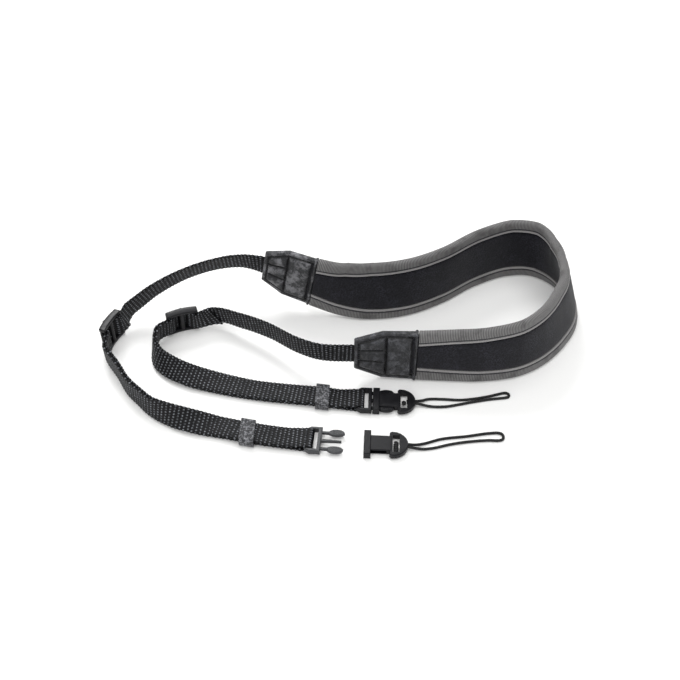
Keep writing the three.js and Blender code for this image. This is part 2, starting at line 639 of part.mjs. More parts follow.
strap.add(piece('far_cord_loop', cordGeometry(FAR_CORD), 'cord'));
strap.add(piece('near_cord_loop', cordGeometry(NEAR_CORD), 'cord'));

export default strap;
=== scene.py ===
"""Camera neck strap: the finished look of each piece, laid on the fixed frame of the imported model."""

import math

import bmesh
import bpy
import numpy as np
from bpy.props import FloatProperty, FloatVectorProperty, PointerProperty
from mathutils import Matrix, Vector


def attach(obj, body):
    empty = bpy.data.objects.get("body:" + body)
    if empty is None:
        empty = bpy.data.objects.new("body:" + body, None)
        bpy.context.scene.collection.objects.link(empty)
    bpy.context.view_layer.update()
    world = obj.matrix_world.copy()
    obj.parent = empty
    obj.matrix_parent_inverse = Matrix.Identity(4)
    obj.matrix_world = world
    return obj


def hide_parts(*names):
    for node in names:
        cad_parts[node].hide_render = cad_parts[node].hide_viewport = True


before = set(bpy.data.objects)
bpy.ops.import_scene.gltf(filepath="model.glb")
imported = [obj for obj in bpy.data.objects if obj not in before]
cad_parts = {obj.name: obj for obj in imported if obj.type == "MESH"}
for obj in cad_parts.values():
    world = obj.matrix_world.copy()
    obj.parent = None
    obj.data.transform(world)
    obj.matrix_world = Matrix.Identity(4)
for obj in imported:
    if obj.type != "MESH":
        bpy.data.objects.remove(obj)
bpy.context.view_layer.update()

bl_info = {
    "name": "Camera neck strap",
    "version": (1, 0, 0),
    "blender": (4, 5, 0),
    "location": "View3D > Sidebar > Strap",
    "description": "Builds the neoprene pad, tabs, webbing, buckles and cord loops of a camera neck strap",
    "category": "Object",
}

MM = 0.001
BODY = "root"
UP = np.array([0.0, 0.0, 1.0])

# ---- sizes of the frame, in millimetres ----------------------------------------------------

ORIGIN = np.array([0.4, 1.2, 0.12])
GAP = 0.3

PAD_THICK = 4.6
PAD_EDGE_THICK = 2.4
BINDING_WALL = 0.8
TONGUE = {"long": 4.5, "high": 28.0, "thick": 2.2}

TAB = {"mouth": 35.0, "shoulder": 33.6, "web_end": 21.0, "shoulder_at": 0.56}
POCKET = {"deep": 5.4, "high": 29.0, "thick": 3.0}
SLOT = {"deep": 6.0, "high": 13.4, "thick": 2.1}

WEB = {"wide": 12.7, "thick": 1.3, "into_tab": 5.0}
LAYER_OFFSET = (WEB["thick"] + GAP) / 2
BAR_PITCH = 7.8
WEAVE = 2.7

KEEPER = {"wall": 1.0, "high": 13.3, "thick": 3.5}
MALE = {"long": 8.2, "wide": 16.4, "thick": 3.2, "inner": 13.3, "bar_at": 1.9, "bar_radius": 0.8}
FOLD_RADIUS = MALE["bar_radius"] + GAP + WEB["thick"] / 2
MATING_GAP = 0.5
HEAD = {"window_at": 14.8, "window_long": 3.6}

# The pad from the far tab to the near tab: plan place of its lower edge, lift, lean in degrees,
# height, and how far each binding reaches in from its edge.
PAD_ROWS = [
    # x, y, lift, lean, high, upper, lower
    (-20.8, 37.6, 4.6, 0, 36.0, 8.8, 9.8),
    (-4.0, 32.6, 1.4, -2, 38.5, 7.8, 8.8),
    (13.5, 30.4, 0, -3, 40.0, 7.2, 8.0),
    (36.0, 33.8, 0, -3, 40.2, 7.0, 7.6),
    (56.5, 44.0, 0, -2, 40.6, 7.0, 7.6),
    (77.8, 59.4, 0, -2, 41.0, 7.0, 7.6),
    (98.6, 69.0, 0, -2, 41.0, 7.0, 7.6),
    (114.6, 69.4, 0, 3, 41.0, 7.0, 7.6),
    (127.4, 60.2, 0, 13, 41.0, 7.0, 7.6),
    (134.9, 41.4, 0, 18, 41.0, 7.0, 7.6),
    (132.4, 22.5, 0, 17, 41.0, 7.0, 7.6),
    (122.6, 6.0, 0, 13, 41.0, 7.0, 7.8),
    (108.6, -8.0, 0, 7, 40.6, 7.0, 8.0),
    (94.0, -16.0, 0, 3, 39.6, 7.0, 8.2),
    (74.4, -19.4, 0, 1, 38.4, 7.2, 8.6),
    (55.5, -19.0, 0, 0, 37.2, 7.8, 9.2),
    (38.8, -18.1, 0, 0, 35.5, 8.6, 10.0),
]

# Webbing from its tab to the buckle's bar: middle of the doubled strap, and its roll in degrees.
WEB_ROWS = {
    "far": [
        # x, y, z, roll
        (-60.5, 49.2, 27.8, 16), (-74.2, 48.1, 26.8, 20), (-92.2, 42.2, 24.4, 20),
        (-110.5, 33.4, 19.0, 14), (-122.8, 25.4, 12.6, 6), (-129.5, 18.3, 9.2, 1),
        (-132.7, 10.4, 9.1, 0), (-135.3, 2.0, 9.1, 0), (-132.4, -6.4, 8.2, -2),
        (-123.8, -18.8, 7.3, 0), (-117.0, -29.8, 6.9, 2), (-109.7, -37.8, 6.9, 4),
        (-101.8, -45.3, 6.9, 8), (-90.7, -50.6, 6.4, 26), (-78.6, -53.3, 4.5, 62),
        (-67.9, -54.8, 2.4, 86), (-60.0, -56.8, 2.6, 90), (-50.9, -59.3, 2.9, 90),
        (-32.0, -62.6, 2.6, 90), (-18.9, -63.8, 2.35, 90),
    ],
    "near": [
        (-13.0, -15.6, 18.0, 2), (-26.0, -8.6, 16.4, 3), (-43.0, 5.6, 14.0, 4),
        (-59.0, 15.4, 12.0, 5), (-73.0, 21.4, 10.2, 7), (-85.2, 21.8, 9.3, 10),
        (-93.4, 19.1, 9.3, 12), (-101.6, 16.0, 9.3, 12), (-106.0, 9.0, 8.6, 9),
        (-106.6, -0.4, 7.3, 9), (-103.6, -8.6, 6.7, 22), (-96.6, -14.8, 6.0, 40),
        (-85.4, -20.0, 4.6, 62), (-70.0, -24.2, 3.0, 80), (-50.0, -28.8, 2.2, 90),
        (-30.0, -32.0, 2.4, 90), (-13.0, -34.4, 2.9, 90), (-3.0, -35.8, 2.5, 90),
        (7.8, -36.4, 2.35, 90),
    ],
}

FITTINGS = {
    "far": {"tab": 31.0, "slider": (-132.7, 10.4), "tail": 12.0, "slant": 1.0, "keeper": (-50.9, -59.3),
            "keeper_long": 7.8, "keeper_skew": -0.18},
    "near": {"tab": 34.0, "slider": (-93.4, 19.1), "tail": 20.0, "slant": 6.0, "keeper": (-12.4, -34.5),
             "keeper_long": 7.2, "keeper_skew": -0.1},
}
FAR_FEMALE = {"at": (9.2, -66.2, 2.1), "heading": -3.0}

CORD_ROUTES = {
    "far": [
        (27.5, -66.4, 2.1), (31.8, -66.6, 2.1), (35.6, -66.2, 1.3), (40.4, -64.9, 0.7), (49.7, -61.8, 0.66),
        (62.9, -60.0, 0.66), (73.9, -58.1, 0.66), (79.3, -57.8, 0.66), (81.1, -58.5, 0.66),
        (81.8, -60.3, 0.66), (81.1, -62.1, 0.66), (79.3, -62.8, 0.66), (74.0, -62.7, 0.66),
        (65.4, -63.4, 0.66), (54.6, -65.2, 0.66), (44.6, -67.9, 0.66), (39.4, -68.6, 0.8),
        (35.6, -68.4, 1.3), (31.8, -68.2, 2.1), (27.5, -68.0, 2.1),
    ],
    "near": [
        (32.6, -36.9, 2.35), (37.4, -37.1, 2.35), (40.8, -35.9, 1.4), (44.6, -34.3, 0.8), (51.8, -34.2, 0.66),
        (61.0, -34.8, 0.66), (68.4, -34.1, 0.66), (78.0, -32.0, 0.66), (82.6, -30.6, 0.66),
        (86.3, -29.7, 0.66), (87.8, -30.2, 0.66), (88.3, -31.4, 0.66), (87.8, -32.6, 0.66),
        (86.3, -33.1, 0.66), (78.4, -34.2, 0.66), (68.8, -36.1, 0.66), (60.0, -38.2, 0.66),
        (53.0, -39.6, 0.66), (46.0, -39.6, 0.8), (40.8, -38.9, 1.5), (37.4, -38.7, 2.35),
        (32.6, -38.5, 2.35),
    ],
}


def linear(code):
    """An sRGB hex colour as the linear colour that a shader takes."""
    parts = [int(code[place:place + 2], 16) / 255 for place in (1, 3, 5)]
    return (*[part / 12.92 if part <= 0.04045 else ((part + 0.055) / 1.055) ** 2.4 for part in parts], 1.0)


def length(name, description, metres):
    return FloatProperty(name=name, description=description, default=metres, min=0, unit="LENGTH",
                         subtype="DISTANCE")


def colour(name, description, code):
    return FloatVectorProperty(name=name, description=description, default=linear(code), size=4,
                               subtype="COLOR", min=0, max=1)


class StrapSizes(bpy.types.PropertyGroup):
    """Sizes of the strap's finer details"""
    cord_thick: length("Cord", "Diameter of the braided cord loops", 0.0015)
    web_rib: length("Webbing rib", "Pitch of the webbing's cross ribs", 0.0022)
    web_yarn: length("Webbing yarn", "Pitch of the webbing's lengthwise yarns", 0.0016)
    knit_rib: length("Knit rib", "Pitch of the binding's cross ribs", 0.00085)
    stitch: length("Stitch", "Pitch of the sewn stitches", 0.0026)
    grain: length("Leather grain", "Width of one pebble of the leather's grain", 0.0009)


class StrapColours(bpy.types.PropertyGroup):
    """Colours of the strap's materials"""
    neoprene: colour("Neoprene", "Cloth face of the pad", "#101015")
    neoprene_light: colour("Neoprene, brushed", "Cloth face where its pile catches the light", "#2b2b33")
    knit: colour("Binding", "Ribbed knit tape", "#858484")
    knit_dark: colour("Binding, brushed", "Ribbed knit tape where its pile lies the other way", "#5d5c5c")
    # Painted shade between the binding's ribs.
    knit_valley_shade: colour("Binding, valley", "Ribbed knit tape between its ribs", "#4a4949")
    # Painted shade in the sewn ditch beside the lip.
    knit_ditch_shade: colour("Binding, ditch", "Sewn ditch beside the tape's lip", "#37363a")
    lip: colour("Binding lip", "Turned edge of the tape beyond the stitching", "#959393")
    leather: colour("Leather", "Tabs and keepers", "#1a1b1f")
    leather_light: colour("Leather, worn", "High places of the leather", "#47484d")
    leather_seam: colour("Leather, seam", "Shade in the sunk seams of the tabs", "#0f0f11")
    # Painted highlight: the paler patches of the far tab, where it catches the light.
    leather_painted_highlight: colour("Leather, rubbed", "High places of the far tab", "#77777b")
    # Painted highlight: bright flecks standing in for glints on the keepers.
    leather_painted_glint: colour("Leather, waxed", "Bright flecks of the keepers", "#85868b")
    web: colour("Webbing", "Valleys of the webbing's weave", "#070709")
    # Painted highlight: the pale dots on the webbing's crowns.
    web_crest_glint: colour("Webbing, crest", "Crowns of the webbing's yarns", "#85888e")
    plastic: colour("Plastic", "Sliders and female buckle halves", "#121215")
    plastic_light: colour("Male plastic", "Male buckle half of the open buckle", "#3c3d3f")
    cord: colour("Cord", "Braided cord loops", "#131315")
    cord_shade: colour("Cord, shade", "Gaps between the cord's strands", "#030304")
    thread: colour("Thread", "Stitches", "#17171a")
    thread_light: colour("Thread, light", "Filaments of the thread that catch the light", "#2b2b2e")
    floor: colour("Floor", "The surface under the strap", "#f4f4f3")


def sizes():
    return bpy.context.scene.strap_sizes


def colours():
    return bpy.context.scene.strap_colours


# ---- routes --------------------------------------------------------------------------------

class Route:
    """A smooth line through a table's rows, with the other columns read off at the same place."""
    FINE = 6000

    def __init__(self, rows):
        rows = np.array(rows, float)
        self.points, self.columns = rows[:, :3], rows[:, 3:]
        self.places = np.linspace(0, len(rows) - 1, self.FINE)
        line, _ = self.line(self.places)
        self.reach = np.concatenate([[0], np.cumsum(np.linalg.norm(np.diff(line, axis=0), axis=1))])
        self.length = self.reach[-1]

    def line(self, places):
        """Points and directions of the centripetal Catmull-Rom line."""
        points = self.points
        ends = np.vstack([2 * points[0] - points[1], points, 2 * points[-1] - points[-2]])
        row = np.minimum(places.astype(int), len(points) - 2)
        part = (places - row)[:, None]
        p0, p1, p2, p3 = (ends[row + step] for step in range(4))
        t0, t1, t2 = (np.sqrt(np.linalg.norm(b - a, axis=1))[:, None]
                      for a, b in ((p0, p1), (p1, p2), (p2, p3)))
        leave = ((p1 - p0) / t0 - (p2 - p0) / (t0 + t1) + (p2 - p1) / t1) * t1
        arrive = ((p2 - p1) / t1 - (p3 - p1) / (t1 + t2) + (p3 - p2) / t2) * t1
        square, cube = -3 * p1 + 3 * p2 - 2 * leave - arrive, 2 * p1 - 2 * p2 + leave + arrive
        at = p1 + leave * part + square * part ** 2 + cube * part ** 3
        ahead = leave + 2 * square * part + 3 * cube * part ** 2
        return at, ahead / np.linalg.norm(ahead, axis=1)[:, None]

    def place(self, distance):
        return np.interp(distance, self.reach, self.places)

    def column(self, number, distance):
        return np.interp(self.place(distance), np.arange(len(self.points)), self.columns[:, number])

    def frame(self, distance, turn):
        """Places at the distances, with across and along turned about the line by degrees."""
        distance = np.atleast_1d(np.asarray(distance, float))
        at, ahead = self.line(self.place(distance))
        left = np.cross(UP, ahead)
        left /= np.linalg.norm(left, axis=1)[:, None]
        up = np.cross(ahead, left)
        cos, sin = (np.atleast_1d(part(np.radians(turn)))[:, None] for part in (np.cos, np.sin))
        return at, ahead, left * cos + up * sin, up * cos - left * sin

    def nearest(self, x, y):
        line, _ = self.line(self.places)
        return self.reach[np.argmin(np.hypot(line[:, 0] - x, line[:, 1] - y))]


PAD_ROUTE = Route(PAD_ROWS)
LEAN, HIGH, UPPER, LOWER = range(4)


def pad_frame(distance):
    """Middle of the pad's height at the distances, and its directions there."""
    distance = np.atleast_1d(distance)
    lean = PAD_ROUTE.column(LEAN, distance)
    at, ahead, across, along = PAD_ROUTE.frame(distance, lean)
    rounding = PAD_THICK / 2 * (1 - np.cos(np.radians(lean)))
    middle = at + along * (PAD_ROUTE.column(HIGH, distance) / 2)[:, None] + UP * rounding[:, None]
    return middle, ahead, across, along


def tab_frame(side):
    """Middle of a tab's mouth, its way out from the pad, its height and its thickness."""
    at, ahead, across, along = (part[0] for part in pad_frame(0 if side == "far" else PAD_ROUTE.length))
    way = -1 if side == "far" else 1
    return at + ahead * way * GAP, ahead * way, along, -across * way


def web_route(side):
    at, out, _, _ = tab_frame(side)
    long = FITTINGS[side]["tab"]
    lead = [(*(at + out * reach), 0) for reach in
            (long - WEB["into_tab"], long - WEB["into_tab"] / 2, long + 1)]
    return Route(lead + WEB_ROWS[side])


def smoothstep(value, low, high):
    part = np.clip((value - low) / (high - low), 0, 1)
    return part * part * (3 - 2 * part)


# ---- making --------------------------------------------------------------------------------

def rod(steps, sides):
    """A closed rod of rings, and which ring and which side of it each corner is."""
    bm = bmesh.new()
    bmesh.ops.create_grid(bm, x_segments=steps, y_segments=sides, size=0.5)
    for vert in bm.verts:
        turn = 2 * math.pi * (vert.co.y + 0.5)
        vert.co = ((vert.co.x + 0.5) * steps, math.cos(turn), math.sin(turn))
    bmesh.ops.remove_doubles(bm, verts=bm.verts, dist=1e-4)
    bmesh.ops.holes_fill(bm, edges=[edge for edge in bm.edges if edge.is_boundary], sides=0)
    corners = np.array([vert.co for vert in bm.verts])
    ring_number = np.rint(corners[:, 0]).astype(int)
    angle = np.arctan2(corners[:, 2], corners[:, 1]) / (2 * np.pi) * sides
    side_number = np.rint(angle).astype(int) % sides
    return bm, ring_number, side_number


def place_corners(bm, corners):
    for vert, corner in zip(bm.verts, corners):
        vert.co = corner


def outline_rod(outlines):
    """A closed rod through rings of points, given as an array of ring, side and place."""
    rings, sides = outlines.shape[:2]
    bm, ring, side = rod(rings - 1, sides)
    place_corners(bm, (outlines[ring, side] + ORIGIN) * MM)
    bmesh.ops.recalc_face_normals(bm, faces=bm.faces)
    if bm.calc_volume(signed=True) < 0:
        bmesh.ops.reverse_faces(bm, faces=bm.faces)
    return bm, ring, side


SOFT_EDGE = 50
HARD_EDGE = 35


def finish_piece(bm, name, materials, replaces=(), lay=None, smooth=40):
    """Turns a mesh into a finished piece that rides on the strap."""
    mesh = bpy.data.meshes.new(name)
    bm.to_mesh(mesh)
    bm.free()
    if lay is not None:
        mesh.attributes.new("lay", "FLOAT_VECTOR", "POINT").data.foreach_set("vector", np.ravel(lay))
    for material in materials:
        mesh.materials.append(material)
    mesh.shade_smooth()
    if smooth:
        mesh.set_sharp_from_angle(angle=math.radians(smooth))
    piece = bpy.data.objects.new(name, mesh)
    bpy.context.scene.collection.objects.link(piece)
    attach(piece, BODY)
    if replaces:
        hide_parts(*replaces)
    return piece


def repeat(seed, matrices):
    """One mesh holding a copy of the seed at each matrix."""
    corners = np.array([(*vert.co, 1) for vert in seed.verts])
    faces = [[vert.index for vert in face.verts] for face in seed.faces]
    placed = np.einsum("nij,vj->nvi", np.array(matrices), corners)[:, :, :3].reshape(-1, 3)
    mesh = bpy.data.meshes.new("repeat")
    count = len(corners)
    mesh.from_pydata(placed.tolist(), [], [[number * count + corner for corner in face]
                                           for number in range(len(matrices)) for face in faces])
    bm = bmesh.new()
    bm.from_mesh(mesh)
    bpy.data.meshes.remove(mesh)
    seed.free()
    return bm


STITCH_SIZES = {
    # long, wide, thick
    "binding": (1.7, 0.5, 0.42),
    "tab": (1.5, 0.42, 0.4),
    "keeper": (0.9, 0.4, 0.3),
}


def stitch_matrices(points, outs, kind):
    """Places for stitches laid end to end along a run of points, each with the surface's way out."""
    long, wide, thick = STITCH_SIZES[kind]
    points, outs = np.array(points, float), np.array(outs, float)
    reach = np.concatenate([[0], np.cumsum(np.linalg.norm(np.diff(points, axis=0), axis=1))])
    pitch = sizes().stitch / MM
    count = max(1, int(reach[-1] / pitch))
    found = []
    for number in range(count):
        middle = (number + 0.5) * reach[-1] / count
        ends = [np.array([np.interp(middle + half, reach, points[:, axis]) for axis in range(3)])
                for half in (-long / 2, long / 2)]
        out = np.array([np.interp(middle, reach, outs[:, axis]) for axis in range(3)])
        ahead = ends[1] - ends[0]
        ahead /= np.linalg.norm(ahead)
        across = np.cross(out, ahead)
        across /= np.linalg.norm(across)
        out = np.cross(ahead, across)
        place = np.identity(4)
        place[:3, 0], place[:3, 1], place[:3, 2] = ahead * long / 2, across * wide / 2, out * thick / 2
        place[:3, 3] = (ends[0] + ends[1]) / 2
        found.append(place)
    return found


def cube(bm, low, high):
    """The corners of a new box between two corners."""
    place = Matrix.LocRotScale(Vector(np.add(high, low) / 2), None, Vector(np.subtract(high, low)))
    return bmesh.ops.create_cube(bm, size=1, matrix=place)["verts"]


def stitches(name, matrices, into_world):
    """A run of stitches as one piece; the matrices are in millimetres, in a local frame."""
    seed = bmesh.new()
    bmesh.ops.create_icosphere(seed, subdivisions=2, radius=1)
    bm = repeat(seed, [into_world @ place for place in matrices])
    return finish_piece(bm, name, [thread()], smooth=0)


def world_matrix(at, x, y, z):
    """From a local frame in millimetres to the strap's place in metres."""
    place = np.identity(4)
    place[:3, 0], place[:3, 1], place[:3, 2] = x * MM, y * MM, z * MM
    place[:3, 3] = (at + ORIGIN) * MM
    return place


TABLE_FRAME = world_matrix(np.zeros(3), *np.identity(3))


# ---- materials -----------------------------------------------------------------------------

# Inputs and settings that many nodes share.
MIX_FACTOR, MIX_A, MIX_B = 0, 6, 7
MIXED = {"data_type": "RGBA", "out": 2}
EASED = {"interpolation_type": "SMOOTHSTEP"}
SOFT = {"Detail": 3.0, "Roughness": 0.55}
FINE = {"Detail": 2.0, "Roughness": 0.55}


def add(tree, kind, inputs=None, out=0, **settings):
    """Adds a node with its settings, its inputs set or linked, and gives one of its outputs."""
    made = tree.nodes.new(f"ShaderNode{kind}")
    for name, value in settings.items():
        setattr(made, name, value)
    for name, value in (inputs or {}).items():
        if isinstance(value, bpy.types.NodeSocket):
            tree.links.new(value, made.inputs[name])
        else:
            made.inputs[name].default_value = value
    return made.outputs[out] if made.outputs else made


def surfaced(name, surface):
    """The material of that name; the first time, surface gives its shader's inputs."""
    material = bpy.data.materials.get(name)
    if material:
        return material
    material = bpy.data.materials.new(name)
    material.use_nodes = True
    tree = material.node_tree
    tree.nodes.clear()
    shader = add(tree, "BsdfPrincipled", surface(tree))
    add(tree, "OutputMaterial", {"Surface": shader})
    return material


def lay_of(tree):
    """The three columns of a piece's own pattern attribute."""
    lay = add(tree, "Attribute", attribute_name="lay", out="Vector")
    return tuple(add(tree, "SeparateXYZ", {0: lay}).node.outputs)


def ripple(tree, source, pitch):
    """A wave along a coordinate in metres, from -1 to 1, one to each pitch."""
    turned = add(tree, "Math", {0: source, 1: 2 * math.pi / pitch}, operation="MULTIPLY")
    return add(tree, "Math", {0: turned}, operation="COSINE")


def neoprene():
    # Neoprene foam faced with a fine knitted pile: dull, with a faint sheen off the pile.
    def surface(tree):
        where = add(tree, "TexCoord", out="Object")
        blotches = add(tree, "TexNoise", {"Vector": where, "Scale": 1 / (12 * MM), **SOFT})
        patches = add(tree, "MapRange", {"Value": blotches, "From Min": 0.35, "From Max": 0.7}, **EASED)
        lift = add(tree, "MapRange", {"Value": patches, "To Min": 0.35, "To Max": 0.85}, **EASED)
        pile = add(tree, "TexNoise", {"Vector": where, "Scale": 1 / (0.8 * MM), **FINE})
        tufts = add(tree, "MapRange", {"Value": pile, "From Min": 0.38, "From Max": 0.66}, **EASED)
        shade = add(tree, "Math", {0: lift, 1: tufts}, operation="MULTIPLY")
        return {
            "Base Color": add(tree, "Mix", {MIX_FACTOR: shade, MIX_A: colours().neoprene,
                                                      MIX_B: colours().neoprene_light}, **MIXED),
            "Normal": add(tree, "Bump", {"Height": pile, "Distance": 0.3 * MM, "Strength": 0.6}),
            "Roughness": 0.95, "Specular IOR Level": 0.2, "Sheen Weight": 0.12, "Sheen Roughness": 0.5,
        }
    return surfaced("neoprene_pile", surface)


def knit_tape():
    # Ribbed polyester knit folded over the edge: fine cross ribs, soft, with a paler turned lip, and painted
    # shade between the ribs and in the sewn ditch.
    def surface(tree):
        where = add(tree, "TexCoord", out="Object")
        along, inward, _ = lay_of(tree)
        ribs = add(tree, "MapRange", {"Value": ripple(tree, along, sizes().knit_rib), "From Min": -1.0},
                   **EASED)
        pile = add(tree, "TexNoise", {"Vector": where, "Scale": 1 / (9 * MM), "Detail": 4.0,
                                                "Roughness": 0.55})
        brushed = add(tree, "MapRange", {"Value": pile, "From Min": 0.48, "From Max": 0.7}, **EASED)
        crest = add(tree, "Mix", {MIX_FACTOR: brushed, MIX_A: colours().knit,
                                            MIX_B: colours().knit_dark}, **MIXED)
        # Painted shade: the valleys between the ribs are darker.
        ribbed = add(tree, "Mix", {MIX_FACTOR: ribs, MIX_A: colours().knit_valley_shade, MIX_B: crest}, **MIXED)
        lip = add(tree, "MapRange", {"Value": inward, "From Min": 1.1 * MM, "From Max": 1.5 * MM,
                                               "To Min": 1.0, "To Max": 0.0}, **EASED)
        lipped = add(tree, "Mix", {MIX_FACTOR: lip, MIX_A: ribbed, MIX_B: colours().lip}, **MIXED)
        # Painted shade: the sewn ditch beside the lip is darkened.
        near = add(tree, "MapRange", {"Value": inward, "From Min": 1.3 * MM, "From Max": 1.7 * MM},
                   **EASED)
        past = add(tree, "MapRange", {"Value": inward, "From Min": 2.2 * MM, "From Max": 2.6 * MM,
                                                "To Min": 1.0, "To Max": 0.0}, **EASED)
        ditch = add(tree, "Math", {0: near, 1: past}, operation="MULTIPLY")
        fuzz = add(tree, "TexNoise", {"Vector": where, "Scale": 1 / (0.4 * MM), **FINE})
        relief = add(tree, "Bump", {"Height": ribs, "Distance": 0.3 * MM, "Strength": 0.7})
        return {
            "Base Color": add(tree, "Mix", {MIX_FACTOR: ditch, MIX_A: lipped,
                                                      MIX_B: colours().knit_ditch_shade}, **MIXED),
            "Normal": add(tree, "Bump", {"Height": fuzz, "Distance": 0.2 * MM, "Strength": 0.4,
                                                   "Normal": relief}),
            "Roughness": 0.9, "Specular IOR Level": 0.25, "Sheen Weight": 0.15,
        }
    return surfaced("knit_tape", surface)


def leather(name, light, blotch, sewn=False):
    # Grained bonded leather, pressed and lightly waxed: pebbled and semi-glossy, paler in random patches that
    # are wear on the near tab and painted highlights on the far tab and the keepers.
    def surface(tree):
        where = add(tree, "TexCoord", out="Object")
        grain = add(tree, "TexVoronoi", {"Vector": where, "Scale": 1 / sizes().grain, "Randomness": 1.0},
                    out="Distance", feature="DISTANCE_TO_EDGE")
        pebbles = add(tree, "MapRange", {"Value": grain, "From Max": 0.25}, **EASED)
        scuffs = add(tree, "TexNoise", {"Vector": where, "Scale": 1 / blotch, "Detail": 6.0,
                                                  "Roughness": 0.7})
        # Pale patches: real wear on the near tab, painted highlights on the far tab and the keepers.
        worn = add(tree, "MapRange", {"Value": scuffs, "From Min": 0.46, "From Max": 0.64}, **EASED)
        tone = add(tree, "Mix", {MIX_FACTOR: worn, MIX_A: colours().leather, MIX_B: light}, **MIXED)
        if sewn:
            clear = add(tree, "MapRange", {"Value": lay_of(tree)[0], "From Min": 0.3 * MM,
                                                     "From Max": 1.0 * MM}, **EASED)
            tone = add(tree, "Mix", {MIX_FACTOR: clear, MIX_A: colours().leather_seam, MIX_B: tone},
                       **MIXED)
        creases = add(tree, "TexNoise", {"Vector": where, "Scale": 1 / (3 * MM), "Detail": 5.0,
                                                   "Roughness": 0.6})
        creased = add(tree, "Bump", {"Height": creases, "Distance": 0.9 * MM, "Strength": 0.8})
        return {
            "Base Color": tone,
            "Normal": add(tree, "Bump", {"Height": pebbles, "Distance": 0.18 * MM, "Strength": 0.7,
                                                   "Normal": creased}),
            "Roughness": add(tree, "MapRange", {"Value": worn, "To Min": 0.42, "To Max": 0.24}, **EASED),
            "IOR": 1.5,
        }
    return surfaced(name, surface)


def nylon_webbing():
    # Woven nylon: cross ribs crowned by lengthwise yarns, whose crowns are painted pale as painted highlight
    # dots where their smooth filaments catch the light.
    def surface(tree):
        where = add(tree, "TexCoord", out="Object")
        along, wide, _ = lay_of(tree)
        every, other = (ripple(tree, along, sizes().web_rib * ribs) for ribs in (1, 2))
        yarn = ripple(tree, wide, sizes().web_yarn)
        offset = add(tree, "Math", {0: other, 1: yarn}, operation="MULTIPLY")
        checks = add(tree, "Math", {0: every, 1: offset}, operation="ADD")
        crowns = add(tree, "MapRange", {"Value": checks, "From Min": -0.1, "From Max": 2.0}, **EASED)
        mottle = add(tree, "TexNoise", {"Vector": where, "Scale": 1 / (0.9 * MM), **SOFT})
        uneven = add(tree, "MapRange", {"Value": mottle, "From Min": 0.38, "From Max": 0.62,
                                                  "To Min": 0.15}, **EASED)
        # The crowns are painted paler as painted highlights.
        lit = add(tree, "Math", {0: crowns, 1: uneven}, operation="MULTIPLY")
        return {
            "Base Color": add(tree, "Mix", {MIX_FACTOR: lit, MIX_A: colours().web,
                                                      MIX_B: colours().web_crest_glint}, **MIXED),
            "Normal": add(tree, "Bump", {"Height": crowns, "Distance": 0.5 * MM, "Strength": 0.8}),
            "Roughness": 0.6, "Specular IOR Level": 0.2,
        }
    return surfaced("nylon_webbing", surface)


RUBBED_LIFT = 1.25


def moulded_plastic(name, base):
    # Acetal, moulded in a spark-eroded tool: satin, with a faint fine texture and dull rubbed patches.
    def surface(tree):
        where = add(tree, "TexCoord", out="Object")
        texture = add(tree, "TexNoise", {"Vector": where, "Scale": 1 / (0.4 * MM), **FINE})
        handled = add(tree, "TexNoise", {"Vector": where, "Scale": 1 / (5 * MM), **SOFT})
        rubbed = add(tree, "MapRange", {"Value": handled, "From Min": 0.35, "From Max": 0.7}, **EASED)
        lifted = (*[part * RUBBED_LIFT for part in base[:3]], 1.0)
        return {
            "Base Color": add(tree, "Mix", {MIX_FACTOR: rubbed, MIX_A: base, MIX_B: lifted}, **MIXED),
            "Normal": add(tree, "Bump", {"Height": texture, "Distance": 0.06 * MM, "Strength": 0.4}),
            "Roughness": add(tree, "MapRange", {"Value": rubbed, "To Min": 0.3, "To Max": 0.42}, **EASED),
            "IOR": 1.48, "Specular IOR Level": 0.22,
        }
    return surfaced(name, surface)


STRAND_PITCH = 0.0011


def braided_cord():
    # Braided polyester: two sets of strands that cross in diamonds.
    def surface(tree):
        along, around, _ = lay_of(tree)
        strands = add(tree, "Math", {0: ripple(tree, along, STRAND_PITCH), 1: around}, operation="ADD")
        diamonds = add(tree, "MapRange", {"Value": strands, "From Min": -1.2, "From Max": 1.6}, **EASED)
        return {
            "Base Color": add(tree, "Mix", {MIX_FACTOR: diamonds, MIX_A: colours().cord_shade,
                                                      MIX_B: colours().cord}, **MIXED),
            "Normal": add(tree, "Bump", {"Height": diamonds, "Distance": 0.2 * MM, "Strength": 0.7}),
            "Roughness": 0.7,
        }
    return surfaced("braided_cord", surface)


def thread():
    # Bonded nylon thread: dark, twisted, a little shiny.
    def surface(tree):
        where = add(tree, "TexCoord", out="Object")
        twist = add(tree, "TexNoise", {"Vector": where, "Scale": 1 / (0.3 * MM), **SOFT})
        return {
            "Base Color": add(tree, "Mix", {MIX_FACTOR: twist, MIX_A: colours().thread,
                                                      MIX_B: colours().thread_light}, **MIXED),
            "Roughness": 0.55,
        }
    return surfaced("bonded_thread", surface)


def buckle_plastic(grey):
    """Plastic of the sliders and buckles; the open buckle's male half is the grey one."""
    if grey:
        return moulded_plastic("acetal_grey", colours().plastic_light)
    return moulded_plastic("acetal_dark", colours().plastic)


# ---- cord loops and knots --------------------------------------------------------------------

END_TAPER = 0.6
STRANDS_ROUND = 4


